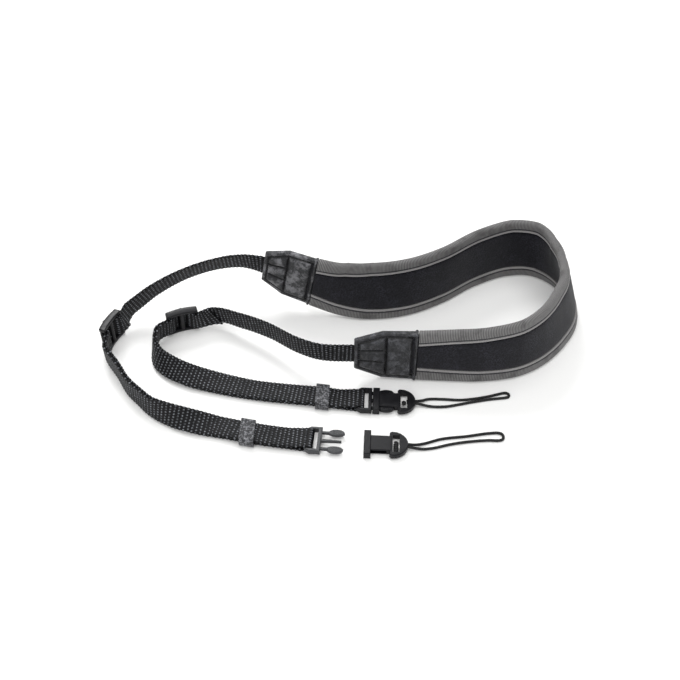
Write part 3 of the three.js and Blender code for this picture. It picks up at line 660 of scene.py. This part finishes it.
def tube(points, radius, sides, step):
    """A closed round tube along points in the tables' frame, its pattern's places, path and length."""
    route = Route(points)
    count = int(route.length / step)
    distance = np.linspace(0, route.length, count + 1)
    at, ahead, across, along = route.frame(distance, np.zeros(count + 1))
    angle = 2 * np.pi * np.arange(sides) / sides
    size = np.full(count + 1, radius)
    size[[0, -1]] *= END_TAPER
    outlines = at[:, None] + size[:, None, None] * (across[:, None] * np.cos(angle)[None, :, None]
                                                     + along[:, None] * np.sin(angle)[None, :, None])
    bm, ring, side = outline_rod(outlines)
    lay = np.stack([distance[ring] * MM, np.cos(STRANDS_ROUND * angle[side]), np.zeros(len(ring))], axis=1)
    return bm, lay, (at + ORIGIN) * MM, route.length * MM


CORD_SIDES, CORD_STEP = 16, 0.3


def make_cords():
    """The two cord loops, and the cord wound in each buckle's window."""
    for side, points in CORD_ROUTES.items():
        thick = sizes().cord_thick
        bm, lay, path, long = tube(points, thick / MM / 2, CORD_SIDES, CORD_STEP)
        name = f"{side}_cord_loop"
        loop = finish_piece(bm, f"{side}_loop", [braided_cord()], [name], lay)
        make_knot(side)


def level(heading):
    """The level direction at a heading in radians."""
    return np.array([math.cos(heading), math.sin(heading), 0.0])


def strap_end(side):
    """Where a strap folds round its buckle's bar, and its level way ahead there."""
    end, before = (np.array(row[:3]) for row in (WEB_ROWS[side][-1], WEB_ROWS[side][-2]))
    return end, level(math.atan2(end[1] - before[1], end[0] - before[0]))


def female_frame(side):
    """Mating face of a female buckle half, with its way ahead, its width and its up."""
    if side == "far":
        at, ahead = np.array(FAR_FEMALE["at"]), level(math.radians(FAR_FEMALE["heading"]))
    else:
        end, ahead = strap_end(side)
        at = end + ahead * (MALE["long"] - MALE["bar_at"] + MATING_GAP)
    return at, ahead, np.cross(UP, ahead), UP


KNOTS = {
    # turns of cord, the stretch of the window's width that they fill, their radius
    "far": (4.5, -4.4, 1.6, 0.8),
    "near": (2.0, -2.0, 0.4, 0.7),
}
KNOT_POINTS, KNOT_CORD, KNOT_SIDES, KNOT_STEP = 60, 0.6, 10, 0.4


def make_knot(side):
    """The cord wound across a buckle head's window."""
    at, ahead, wide, up = female_frame(side)
    turns, low, high, radius = KNOTS[side]
    middle = HEAD["window_at"] + HEAD["window_long"] / 2
    points = []
    for part in np.linspace(0, 1, KNOT_POINTS):
        angle = 2 * np.pi * turns * part
        local = (middle + radius * math.cos(angle), low + (high - low) * part, radius * math.sin(angle))
        points.append(at + ahead * local[0] + wide * local[1] + up * local[2])
    bm, lay, _, _ = tube(points, KNOT_CORD, KNOT_SIDES, KNOT_STEP)
    finish_piece(bm, f"{side}_knot", [braided_cord()], [f"{side}_cord_knot"], lay)


# ---- pad -----------------------------------------------------------------------------------

PAD_STEPS = 260
FIELD = {"columns": 18, "square": 5, "round": 0.6, "crown": 0.15, "rim": 0.7, "rim_high": 0.4}


def pad_outlines(profile, ends=()):
    """Rings of the pad's section at each station; profile gives columns of u and v."""
    distance = np.linspace(0, PAD_ROUTE.length, PAD_STEPS + 1)
    at, ahead, across, along = pad_frame(distance)
    high, upper, lower = (PAD_ROUTE.column(number, distance) for number in (HIGH, UPPER, LOWER))
    u, v = profile(high, upper, lower)
    rings = at[:, None] + across[:, None] * u[:, :, None] + along[:, None] * v[:, :, None]
    for index, way, reach, (tongue_u, tongue_v) in ends:
        ring = at[index] + ahead[index] * way * reach \
            + across[index] * tongue_u[:, None] + along[index] * tongue_v[:, None]
        rings = np.vstack([ring[None], rings]) if way < 0 else np.vstack([rings, ring[None]])
    return rings, distance


def both_faces(u, v):
    """Closes a section drawn up its left face by its mirror image down the right one."""
    return np.concatenate([u, -u[..., ::-1]], axis=-1), np.concatenate([v, v[..., ::-1]], axis=-1)


def field_profile(high, upper, lower):
    """The neoprene's section: thin under its bindings and crowned between them."""
    thin, full = PAD_EDGE_THICK / 2, PAD_THICK / 2
    part = np.linspace(0, 1, FIELD["columns"])
    low, top = (-high / 2 + lower + GAP)[:, None], (high / 2 - upper - GAP)[:, None]
    swell = (1 - np.abs(2 * part - 1) ** FIELD["square"])[None]
    field_v = low + (top - low) * (0.5 - 0.5 * np.cos(np.pi * part))[None]
    field_u = thin + (full - thin) * swell ** FIELD["round"] + FIELD["crown"] * np.sin(np.pi * part)[None]
    edge_v = (high / 2 - BINDING_WALL - GAP)[:, None]
    rim = np.full_like(edge_v, thin)
    worn, inset = rim * FIELD["rim"], edge_v - FIELD["rim_high"]
    u = np.concatenate([worn, rim, field_u * np.ones_like(low), rim, worn], axis=1)
    v = np.concatenate([-edge_v, -inset, field_v, inset, edge_v], axis=1)
    return both_faces(u, v)


def tongue_section(sides):
    """The pad's end inside a tab, with as many sides as the pad's own section."""
    half = sides // 2
    v = np.linspace(-0.5, 0.5, half) * TONGUE["high"]
    u = np.full(half, TONGUE["thick"] / 2)
    u[[0, -1]] *= END_TAPER
    return both_faces(u, v)


def make_pad():
    """The neoprene field, crowned between its bindings and squeezed flat inside the tabs."""
    section = tongue_section(2 * (FIELD["columns"] + 4))
    ends = [(0, -1, GAP, section), (0, -1, TONGUE["long"], section),
            (-1, 1, GAP, section), (-1, 1, TONGUE["long"], section)]
    rings, _ = pad_outlines(field_profile, ends)
    bm, _, _ = outline_rod(rings)
    field = finish_piece(bm, "pad_field", [neoprene()], ["pad_core"], smooth=0)


DITCH_AT = 1.75
TAPE_FACE = [
    # inward from the tape's lip, proud of the pad
    (0, -0.35), (0.15, 0.1), (0.5, 0.3), (1.05, 0.25), (1.25, 0.0),
    (DITCH_AT, -0.3), (2.2, -0.1), (2.7, 0.1), (3.6, 0.12), (5.0, 0.1),
]
FOLD = {"sides": 13, "proud": 0.1, "clear": 0.6, "inward": 6.0, "hem": 2.4, "slack": 0.1}


def binding_profile(side):
    """The tape's section: the crown of its fold, a ribbed face, the sewn ditch and the turned lip."""
    inward, proud = np.array(TAPE_FACE).T
    turn = np.linspace(0, np.pi, FOLD["sides"])[1:-1]
    outside = PAD_THICK / 2
    inner = outside - BINDING_WALL
    inner_u = np.array([[-inner, -inner, -inner * 0.6, inner * 0.6, inner, inner]])

    def profile(high, upper, lower):
        reach = (upper if side > 0 else lower)[:, None]
        edge = (high / 2)[:, None]
        face_in = np.minimum(inward[None], reach - outside - FOLD["clear"])
        face_v = edge - reach + face_in
        face_u = outside + proud[None] * np.ones_like(reach)
        fold_u = (outside + FOLD["proud"]) * np.cos(turn)[None] * np.ones_like(reach)
        fold_v = edge - outside + outside * np.sin(turn)[None]
        depths = [reach, *(np.full_like(reach, depth) for depth in (FOLD["hem"], BINDING_WALL + FOLD["slack"]))]
        inner_v = np.concatenate([edge - depth for depth in depths + depths[::-1]], axis=1)
        u = np.concatenate([face_u, fold_u, -face_u[:, ::-1], inner_u * np.ones_like(reach)], axis=1)
        v = np.concatenate([face_v, fold_v, face_v[:, ::-1], inner_v], axis=1)
        return u, v * side

    into = np.concatenate([inward, np.full(len(turn), FOLD["inward"]), inward[::-1], np.zeros(inner_u.size)])
    return profile, into


STITCH_SUNK = 0.22


def make_bindings():
    """A ribbed tape over each long edge of the pad, sewn down beside its turned lip."""
    matrices = []
    for name, side, column in (("upper", 1, UPPER), ("lower", -1, LOWER)):
        profile, into = binding_profile(side)
        rings, distance = pad_outlines(profile)
        bm, ring, corner = outline_rod(rings)
        lay = np.stack([distance[ring] * MM, into[corner] * MM, np.full(len(ring), float(side))], axis=1)
        finish_piece(bm, f"binding_{name}", [knit_tape()], [f"pad_binding_{name}"], lay, smooth=0)
        at, _, across, along = pad_frame(distance)
        v = side * (PAD_ROUTE.column(HIGH, distance) / 2 - PAD_ROUTE.column(column, distance) + DITCH_AT)
        for face in (-1, 1):
            run = at + along * v[:, None] + across * face * (PAD_THICK / 2 - STITCH_SUNK)
            matrices += stitch_matrices(run, across * face, "binding")
    stitches("binding_stitches", matrices, TABLE_FRAME)


# ---- tabs ----------------------------------------------------------------------------------

TAB_MARGIN, CROSS_AT, RUN_AT = 2.7, 16.8, 4.7
TAB_CELLS = 120
SEAM = {"shoulder_in": 0.6, "end_out": 0.8, "run_in": 0.72}
QUILT = {"rim": 1.1, "mouth_out": 0.6, "half": 1.6, "puff": 1.0, "puff_reach": 1.1, "sunk": 0.75,
         "sunk_wide": 0.55, "bead": 1.2, "bead_at": 0.9, "bead_wide": 0.75, "stitch_proud": 0.05}
FAR_OFF = 99.0


def tab_half(x, long):
    """Half the tab's height at x."""
    return np.interp(x, [0, TAB["shoulder_at"] * long, long],
                     [TAB["mouth"] / 2, TAB["shoulder"] / 2, TAB["web_end"] / 2])


def tab_seams(long):
    """The sewn lines of a tab: its border, the line across it and the two runs to its strap end."""
    inner = [(TAB_MARGIN, TAB["mouth"] / 2 - TAB_MARGIN),
             (TAB["shoulder_at"] * long - SEAM["shoulder_in"], TAB["shoulder"] / 2 - TAB_MARGIN),
             (long - TAB_MARGIN, TAB["web_end"] / 2 - TAB_MARGIN + SEAM["end_out"])]
    border = inner + [(x, -y) for x, y in reversed(inner)]
    border.append(border[0])
    cross_half = tab_half(CROSS_AT, long) - TAB_MARGIN
    lines = [border, [(CROSS_AT, -cross_half), (CROSS_AT, cross_half)]]
    for way in (-1, 1):
        lines.append([(CROSS_AT, way * RUN_AT), (long - TAB_MARGIN, way * RUN_AT * SEAM["run_in"])])
    return lines


def seam_distance(x, y, lines):
    """How far each place on a tab's face is from the nearest of its sewn lines."""
    nearest = np.full(x.shape, FAR_OFF)
    for line in lines:
        for (x0, y0), (x1, y1) in zip(line, line[1:]):
            run, rise = x1 - x0, y1 - y0
            part = np.clip(((x - x0) * run + (y - y0) * rise) / (run ** 2 + rise ** 2), 0, 1)
            nearest = np.minimum(nearest, np.hypot(x - x0 - part * run, y - y0 - part * rise))
    return nearest


def tab_height(x, y, long):
    """How far the tab's face stands off its middle: rim, sunk seams and puffed cells."""
    half = tab_half(x, long)
    edge = np.minimum(np.minimum(half - np.abs(y), long - x), x + QUILT["mouth_out"])
    rim = np.sqrt(np.clip(1 - (1 - np.clip(edge / QUILT["rim"], 0, 1)) ** 2, 0, 1))
    seam = seam_distance(x, y, tab_seams(long))
    inside = smoothstep(edge, TAB_MARGIN - 0.3, TAB_MARGIN + 0.4)
    puffed = QUILT["puff"] * inside * (1 - np.exp(-(seam / QUILT["puff_reach"]) ** 2))
    sunk = QUILT["sunk"] * np.exp(-(seam / QUILT["sunk_wide"]) ** 2)
    bead = QUILT["bead"] * np.exp(-((x - QUILT["bead_at"]) / QUILT["bead_wide"]) ** 4)
    return rim * (QUILT["half"] + puffed - sunk + bead)


def cut(bm, boxes):
    """Cuts boxes out of a mesh, each given as its lowest and highest corner."""
    cutters = bmesh.new()
    for low, high in boxes:
        cube(cutters, low, high)
    objects = []
    for source in (bm, cutters):
        mesh = bpy.data.meshes.new("cut")
        source.to_mesh(mesh)
        objects.append(bpy.data.objects.new("cut", mesh))
        bpy.context.scene.collection.objects.link(objects[-1])
    whole, tool = objects
    modifier = whole.modifiers.new("cut", "BOOLEAN")
    modifier.operation, modifier.solver, modifier.object = "DIFFERENCE", "EXACT", tool
    made = bpy.data.meshes.new_from_object(whole.evaluated_get(bpy.context.evaluated_depsgraph_get()))
    bm.clear()
    bm.from_mesh(made)
    cutters.free()
    for scrap in objects:
        mesh = scrap.data
        bpy.data.objects.remove(scrap)
        bpy.data.meshes.remove(mesh)
    bpy.data.meshes.remove(made)


def transform(bm, matrix):
    bmesh.ops.transform(bm, matrix=Matrix(matrix.tolist()), verts=bm.verts)
    if np.linalg.det(matrix[:3, :3]) < 0:
        bmesh.ops.reverse_faces(bm, faces=bm.faces)


def tab_leather(side):
    """Leather of a tab; the far one has paler patches painted on as painted highlights."""
    if side == "far":
        # The far tab's paler patches are painted highlights where it catches the light.
        return leather("far_tab_leather_painted_highlights", colours().leather_painted_highlight, 6 * MM, sewn=True)
    return leather("quilted_leather", colours().leather_light, 3.5 * MM, sewn=True)


def make_tabs():
    """A leather tab over each end of the pad, quilted by its seams and open at its mouth."""
    for side, fitting in FITTINGS.items():
        long = fitting["tab"]
        bm = bmesh.new()
        for face in (1, -1):
            grid = bmesh.ops.create_grid(bm, x_segments=TAB_CELLS, y_segments=TAB_CELLS, size=0.5)["verts"]
            for vert in grid:
                x = (vert.co.x + 0.5) * long
                vert.co = (x, 2 * vert.co.y * float(tab_half(x, long)), 0)
            place = np.array([vert.co for vert in grid])
            height = tab_height(place[:, 0], place[:, 1], long)
            for vert, stand in zip(grid, height):
                vert.co.z = face * max(stand, 0.0)
        bmesh.ops.remove_doubles(bm, verts=bm.verts, dist=0.01)
        bmesh.ops.holes_fill(bm, edges=[edge for edge in bm.edges if edge.is_boundary], sides=0)
        bmesh.ops.recalc_face_normals(bm, faces=bm.faces)
        cut(bm, [((start, -hole["high"] / 2, -hole["thick"] / 2), (stop, hole["high"] / 2, hole["thick"] / 2))
                 for hole, start, stop in ((POCKET, -1, POCKET["deep"]),
                                           (SLOT, long - SLOT["deep"], long + 1))])
        local = np.array([vert.co for vert in bm.verts])
        lay = np.zeros_like(local)
        lay[:, 0] = seam_distance(local[:, 0], local[:, 1], tab_seams(long)) * MM
        at, out, along, thickness = tab_frame(side)
        into_world = world_matrix(at, out, along, thickness)
        transform(bm, into_world)
        finish_piece(bm, f"{side}_tab_leather", [tab_leather(side)], [f"{side}_tab"], lay,
                     smooth=SOFT_EDGE)
        matrices = []
        for face in (1, -1):
            for line in tab_seams(long):
                xy = np.array(line, float)
                fine = np.concatenate([np.linspace(a, b, 12) for a, b in zip(xy, xy[1:])])
                stand = tab_height(fine[:, 0], fine[:, 1], long)
                run = np.column_stack([fine, face * (stand + QUILT["stitch_proud"])])
                matrices += stitch_matrices(run, np.tile([0, 0, face], (len(run), 1)), "tab")
        stitches(f"{side}_tab_stitches", matrices, into_world)


# ---- webbing -------------------------------------------------------------------------------

WEB_COLUMNS = 9
RIB_STEPS = 6
# Stretches over which a strap eases: the tail's layer lies down, the layers part for the bar, the
# tail's slant runs out, and the strap swings back from the slider.
EASE = {"tail": (16, 2), "bar": (12, 1), "slant": 10, "weave": (1.5, 11)}
SELVEDGE = {"wide": 0.5, "high": 0.12, "round": 0.75}
RIB_DIP = {"thin": 0.24, "narrow": 0.045}
END_THIN, END_STEP = 0.7, 0.15


def web_path(side):
    """Every station of a strap: out to the buckle's bar, round it, and home to its slanted tail."""
    route = web_route(side)
    fitting = FITTINGS[side]
    slider_at = route.nearest(*fitting["slider"])
    tail_at = slider_at - fitting["tail"]
    step = sizes().web_rib / MM / RIB_STEPS

    def layer(distance, way):
        at, ahead, across, along = route.frame(distance, -route.column(0, distance))
        away = np.abs(distance - slider_at)
        weave = np.where(away <= BAR_PITCH, -WEAVE * np.cos(np.pi * away / BAR_PITCH),
                         WEAVE * (1 - smoothstep(away, *(BAR_PITCH + reach for reach in EASE["weave"]))))
        single = LAYER_OFFSET * smoothstep(distance, *(tail_at - reach for reach in EASE["tail"]))
        nearing = smoothstep(distance, *(route.length - reach for reach in EASE["bar"]))
        apart = single + (FOLD_RADIUS - single) * nearing
        at = at + across * (weave + way * apart)[:, None]
        if way > 0:
            lean = fitting["slant"] / WEB["wide"] * (1 - smoothstep(distance, tail_at, tail_at + EASE["slant"]))
            along = along + ahead * lean[:, None]
        return at, across * -way, along

    out = np.arange(0, route.length, step)
    home = np.arange(tail_at, route.length, step)[::-1]
    _, ahead, across, along = (part[0] for part in route.frame(route.length, -route.column(0, route.length)))
    end = route.line(route.place(np.array([route.length])))[0][0]
    angle = np.arange(step / FOLD_RADIUS, math.pi, step / FOLD_RADIUS)[:, None]
    turned = -across * np.cos(angle) + ahead * np.sin(angle)
    fold = (end + turned * FOLD_RADIUS, -turned, np.tile(along, (len(angle), 1)))
    parts = [layer(out, -1), fold, layer(home, 1)]
    return [np.concatenate(column) for column in zip(*parts)], step


def web_section():
    """A flat section with soft selvedges, as its place across the thickness and the width."""
    half_u, half_v = WEB["thick"] / 2, WEB["wide"] / 2
    v = np.linspace(-1, 1, WEB_COLUMNS) * (half_v - SELVEDGE["wide"])
    u = np.full(WEB_COLUMNS, half_u)
    edge_u = np.array([1.0, 0.0, -1.0]) * SELVEDGE["round"] * half_u
    edge_v = half_v - np.array([1.0, 0.0, 1.0]) * SELVEDGE["high"]
    return np.concatenate([u, edge_u, -u, -edge_u]), np.concatenate([v, edge_v, v[::-1], -edge_v])


def make_webbing():
    """The two straps: ribbed nylon, doubled from the slider to the buckle."""
    for side in FITTINGS:
        (at, across, along), step = web_path(side)
        u, v = web_section()
        reach = np.arange(len(at)) * step
        rib = 0.5 + 0.5 * np.cos(2 * np.pi * reach / (sizes().web_rib / MM))
        thin, narrow = (1 - RIB_DIP[way] * (1 - rib)[:, None] for way in ("thin", "narrow"))
        ends = np.minimum(np.arange(len(at)), np.arange(len(at))[::-1])
        thin = thin * np.clip(END_THIN + END_STEP * ends, 0, 1)[:, None]
        outlines = (at[:, None] + across[:, None] * (u * thin)[:, :, None]
                    + along[:, None] * (v * narrow)[:, :, None])
        bm, ring, corner = outline_rod(outlines)
        lay = np.stack([reach[ring] * MM, v[corner] * MM, u[corner] * MM], axis=1)
        finish_piece(bm, f"{side}_web", [nylon_webbing()], [f"{side}_webbing"], lay, smooth=0)


# ---- keepers, sliders and buckles ------------------------------------------------------------

def strap_frame(side, place):
    route = web_route(side)
    distance = route.nearest(*place)
    at, ahead, across, along = (part[0] for part in route.frame(distance, -route.column(0, distance)))
    return world_matrix(at, ahead, across, along)


def block(bm, low, high, soft, segments=3, cuts=0):
    """A box with rounded edges between two corners, cut across so that it can be bowed."""
    edges = list({edge for vert in cube(bm, low, high) for edge in vert.link_edges})
    bmesh.ops.bevel(bm, geom=edges, offset=soft, segments=segments, profile=0.5, affect="EDGES", material=-1)
    for cut_at in np.linspace(low[0], high[0], cuts + 2)[1:-1]:
        bmesh.ops.bisect_plane(bm, geom=bm.verts[:] + bm.edges[:] + bm.faces[:], plane_co=(cut_at, 0, 0),
                               plane_no=(1, 0, 0))


def bar(bm, x, y, radius_x, radius_y, reach):
    """A round bar along Z."""
    place = Matrix.LocRotScale(Vector((x, y, 0)), None, Vector((radius_x, radius_y, 1)))
    bmesh.ops.create_cone(bm, cap_ends=True, segments=BAR_SIDES, radius1=1, radius2=1, depth=reach,
                          matrix=place)


SLIDER = {"long": 18.0, "high": 17.6, "rail_thick": 4.0, "rail": 2.1, "bar": 2.2, "end_bar": 2.4,
          "mid_bar": 2.8, "bow": 0.012, "soft": 0.5, "cuts": 9}
BAR_SIDES = 20


def make_sliders():
    """A three-bar slider on each strap."""
    shift = (SLIDER["rail_thick"] - SLIDER["bar"]) / 2
    for side, fitting in FITTINGS.items():
        bm = bmesh.new()
        for way in (-1, 1):
            edges = sorted((way * SLIDER["high"] / 2, way * (SLIDER["high"] / 2 - SLIDER["rail"])))
            block(bm, (-SLIDER["long"] / 2, -SLIDER["rail_thick"] / 2, edges[0]),
                  (SLIDER["long"] / 2, SLIDER["rail_thick"] / 2, edges[1]), SLIDER["soft"], cuts=SLIDER["cuts"])
        reach = SLIDER["high"] - SLIDER["rail"]
        for x, wide, y in ((-BAR_PITCH, SLIDER["end_bar"], -shift), (BAR_PITCH, SLIDER["end_bar"], -shift),
                           (0, SLIDER["mid_bar"], shift)):
            bar(bm, x, y, wide / 2, SLIDER["bar"] / 2, reach)
        for vert in bm.verts:
            vert.co.y += SLIDER["bow"] * vert.co.x ** 2
        transform(bm, strap_frame(side, fitting["slider"]))
        finish_piece(bm, f"{side}_slider_frame", [buckle_plastic(False)],
                     [f"{side}_slider"], smooth=HARD_EDGE)


BAND = {"soft": 1.5, "turn": 18, "steps": 16, "skin": 0.98, "stitch_in": 1.9, "stitch_end": 0.8,
        "stitch_proud": 0.02}


def make_keepers():
    """A sewn leather band round each doubled strap."""
    wall, soft = KEEPER["wall"], BAND["soft"]
    half_z, half_y = KEEPER["high"] / 2 + wall, KEEPER["thick"] / 2 + wall
    outline = []
    for quarter, (cz, cy) in enumerate(((1, 1), (-1, 1), (-1, -1), (1, -1))):
        for turn in range(0, 91, BAND["turn"]):
            angle = math.radians(90 * quarter + turn)
            outline.append((cz * (half_z - soft) + soft * math.cos(angle),
                            cy * (half_y - soft) + soft * math.sin(angle)))
    for side, fitting in FITTINGS.items():
        long = fitting["keeper_long"]
        bm = bmesh.new()
        verts = [bm.verts.new((-long / 2, y, z)) for z, y in outline]
        edges = [bm.edges.new((a, b)) for a, b in zip(verts, verts[1:] + verts[:1])]
        bmesh.ops.spin(bm, geom=verts + edges, cent=(0, 0, 0), axis=(1, 0, 0), angle=0, steps=BAND["steps"],
                       dvec=(long / BAND["steps"], 0, 0), use_duplicate=False)
        bmesh.ops.remove_doubles(bm, verts=bm.verts, dist=0.001)
        bmesh.ops.recalc_face_normals(bm, faces=bm.faces)
        bmesh.ops.solidify(bm, geom=bm.faces[:], thickness=wall * BAND["skin"])
        bmesh.ops.recalc_face_normals(bm, faces=bm.faces)
        skewed = np.identity(4)
        skewed[0, 2] = fitting["keeper_skew"]
        into_world = strap_frame(side, fitting["keeper"]) @ skewed
        transform(bm, into_world)
        # The keepers' bright flecks are painted highlights.
        painted_glint_leather = leather("keeper_leather_painted_glints", colours().leather_painted_glint, 1.4 * MM)
        finish_piece(bm, f"{side}_keeper_band", [painted_glint_leather], [f"{side}_keeper"], smooth=SOFT_EDGE)
        matrices = []
        for face in (-1, 1):
            for way in (-1, 1):
                reach = long / 2 - BAND["stitch_end"]
                y, z = face * (half_y + BAND["stitch_proud"]), way * (half_z - BAND["stitch_in"])
                matrices += stitch_matrices([(-reach, y, z), (reach, y, z)], [(0, face, 0)] * 2, "keeper")
        stitches(f"{side}_keeper_stitches", matrices, into_world)


GRIP = {"first": 13.6, "last": 18.6, "count": 8, "wide": 0.34, "stand": 0.16, "prong_thick": 1.8, "at": 5.6,
        "half": 1.0, "belly": 0.55, "soft": 0.2}


def male_frame(side):
    """Webbing end of a male buckle half, as the matrix that sets it on its strap."""
    end, ahead = strap_end(side)
    return world_matrix(end - ahead * MALE["bar_at"], ahead, np.cross(UP, ahead), UP)


def make_grips():
    """Fine cross ridges on the prongs' lobes, for the fingers."""
    for side in FITTINGS:
        matrices = []
        for x in np.linspace(GRIP["first"], GRIP["last"], GRIP["count"]):
            part = (x - GRIP["first"]) / (GRIP["last"] - GRIP["first"])
            half_long = GRIP["half"] + GRIP["belly"] * math.sin(math.pi * (0.15 + 0.7 * part))
            for way in (-1, 1):
                for face in (-1, 1):
                    place = np.diag([GRIP["wide"], 2 * half_long, 2 * GRIP["stand"], 1.0])
                    place[:3, 3] = x, way * GRIP["at"], face * GRIP["prong_thick"] / 2
                    matrices.append(male_frame(side) @ place)
        seed = bmesh.new()
        block(seed, (-0.5, -0.5, -0.5), (0.5, 0.5, 0.5), GRIP["soft"], 2)
        finish_piece(repeat(seed, matrices), f"{side}_prong_ridges", [buckle_plastic(side == "far")])


def dress_buckles():
    """The buckle halves keep the frame's own shapes, in moulded plastic."""
    for side in FITTINGS:
        for half in ("male", "female"):
            material = buckle_plastic(side == "far" and half == "male")
            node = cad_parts[f"{side}_buckle_{half}"]
            for slot in node.material_slots:
                slot.material = material


# ---- stage ---------------------------------------------------------------------------------

CAMERA = {"aim": (-0.0026, 0.0132, 0.0001), "away": 0.542, "elevation": 44.5, "lens": 50.0, "sensor": 36.0,
          "clip": 0.01}


def make_camera():
    aim, elevation = Vector(CAMERA["aim"]), math.radians(CAMERA["elevation"])
    back = Vector((0, -math.cos(elevation), math.sin(elevation)))
    data = bpy.data.cameras.new("camera")
    data.lens, data.sensor_width, data.clip_start = CAMERA["lens"], CAMERA["sensor"], CAMERA["clip"]
    camera = bpy.data.objects.new("camera", data)
    camera.location = aim + back * CAMERA["away"]
    camera.rotation_euler = (-back).to_track_quat("-Z", "Y").to_euler()
    bpy.context.scene.collection.objects.link(camera)
    bpy.context.scene.camera = camera


LAMPS = [
    # name, place, size, watts
    ("back_softbox", (-0.3, 0.8, 0.9), 0.6, 9.5),
    ("top_softbox", (0.15, -0.05, 1.25), 1.2, 7.8),
    ("front_fill", (-0.5, -0.9, 0.7), 0.9, 4.0),
]


FLOOR_HALF = 4.0
WORLD_STRENGTH = 0.5


def studio_paper():
    # Matt paper: plain and pale.
    def surface(tree):
        return {"Base Color": colours().floor, "Roughness": 0.95, "Specular IOR Level": 0.1,
                "Emission Color": colours().floor, "Emission Strength": 0.1}
    return surfaced("studio_floor", surface)


def make_stage():
    """A plain floor under soft studio light."""
    bm = bmesh.new()
    bmesh.ops.create_grid(bm, x_segments=2, y_segments=2, size=FLOOR_HALF)
    mesh = bpy.data.meshes.new("floor")
    bm.to_mesh(mesh)
    bm.free()
    mesh.materials.append(studio_paper())
    floor = bpy.data.objects.new("floor", mesh)
    bpy.context.scene.collection.objects.link(floor)
    for name, place, size, watts in LAMPS:
        data = bpy.data.lights.new(name, "AREA")
        data.shape, data.size, data.energy = "DISK", size, watts
        lamp = bpy.data.objects.new(name, data)
        lamp.location = place
        lamp.rotation_euler = Vector(place).to_track_quat("Z", "Y").to_euler()
        bpy.context.scene.collection.objects.link(lamp)
    world = bpy.data.worlds.new("studio")
    world.use_nodes = True
    background = world.node_tree.nodes["Background"]
    background.inputs["Color"].default_value = (1, 1, 1, 1)
    background.inputs["Strength"].default_value = WORLD_STRENGTH
    bpy.context.scene.world = world
    bpy.context.scene.view_settings.view_transform = "Standard"


# ---- operators and panel ---------------------------------------------------------------------

class STRAP_OT_camera(bpy.types.Operator):
    """Sets the camera"""
    bl_idname, bl_label = "strap.camera", "Camera"

    def execute(self, context):
        make_camera()
        return {"FINISHED"}


class STRAP_OT_cords(bpy.types.Operator):
    """Makes the two cord loops and the cord wound in each buckle's window"""
    bl_idname, bl_label = "strap.cords", "Cord loops"

    def execute(self, context):
        make_cords()
        return {"FINISHED"}


class STRAP_OT_pad(bpy.types.Operator):
    """Makes the neoprene pad"""
    bl_idname, bl_label = "strap.pad", "Neck pad"

    def execute(self, context):
        make_pad()
        return {"FINISHED"}


class STRAP_OT_bindings(bpy.types.Operator):
    """Makes the ribbed bindings and their stitches"""
    bl_idname, bl_label = "strap.bindings", "Bindings"

    def execute(self, context):
        make_bindings()
        return {"FINISHED"}


class STRAP_OT_tabs(bpy.types.Operator):
    """Makes the quilted leather tabs"""
    bl_idname, bl_label = "strap.tabs", "Leather tabs"

    def execute(self, context):
        make_tabs()
        return {"FINISHED"}


class STRAP_OT_webbing(bpy.types.Operator):
    """Makes the doubled nylon straps"""
    bl_idname, bl_label = "strap.webbing", "Webbing"

    def execute(self, context):
        make_webbing()
        return {"FINISHED"}


class STRAP_OT_fittings(bpy.types.Operator):
    """Makes the sliders and keepers, and dresses the buckles"""
    bl_idname, bl_label = "strap.fittings", "Sliders, keepers and buckles"

    def execute(self, context):
        make_sliders()
        make_keepers()
        dress_buckles()
        make_grips()
        return {"FINISHED"}


class STRAP_OT_stage(bpy.types.Operator):
    """Makes the floor and the studio light"""
    bl_idname, bl_label = "strap.stage", "Stage"

    def execute(self, context):
        make_stage()
        return {"FINISHED"}


OPERATORS = (STRAP_OT_camera, STRAP_OT_cords, STRAP_OT_pad, STRAP_OT_bindings, STRAP_OT_tabs,
             STRAP_OT_webbing, STRAP_OT_fittings, STRAP_OT_stage)


class STRAP_PT_panel(bpy.types.Panel):
    """Lists the strap's pieces, sizes and colours"""
    bl_label, bl_space_type, bl_region_type, bl_category = "Camera neck strap", "VIEW_3D", "UI", "Strap"

    def draw(self, context):
        for operator in OPERATORS:
            self.layout.operator(operator.bl_idname)
        for group in (context.scene.strap_sizes, context.scene.strap_colours):
            for name in group.bl_rna.properties.keys():
                if name not in ("rna_type", "name"):
                    self.layout.prop(group, name)


CLASSES = (StrapSizes, StrapColours, *OPERATORS, STRAP_PT_panel)


def register():
    for each in CLASSES:
        bpy.utils.register_class(each)
    bpy.types.Scene.strap_sizes = PointerProperty(type=StrapSizes)
    bpy.types.Scene.strap_colours = PointerProperty(type=StrapColours)


def unregister():
    del bpy.types.Scene.strap_colours
    del bpy.types.Scene.strap_sizes
    for each in reversed(CLASSES):
        bpy.utils.unregister_class(each)


def main():
    register()
    for operator in OPERATORS:
        group, name = operator.bl_idname.split(".")
        getattr(getattr(bpy.ops, group), name)()


if __name__ == "__main__":
    main()
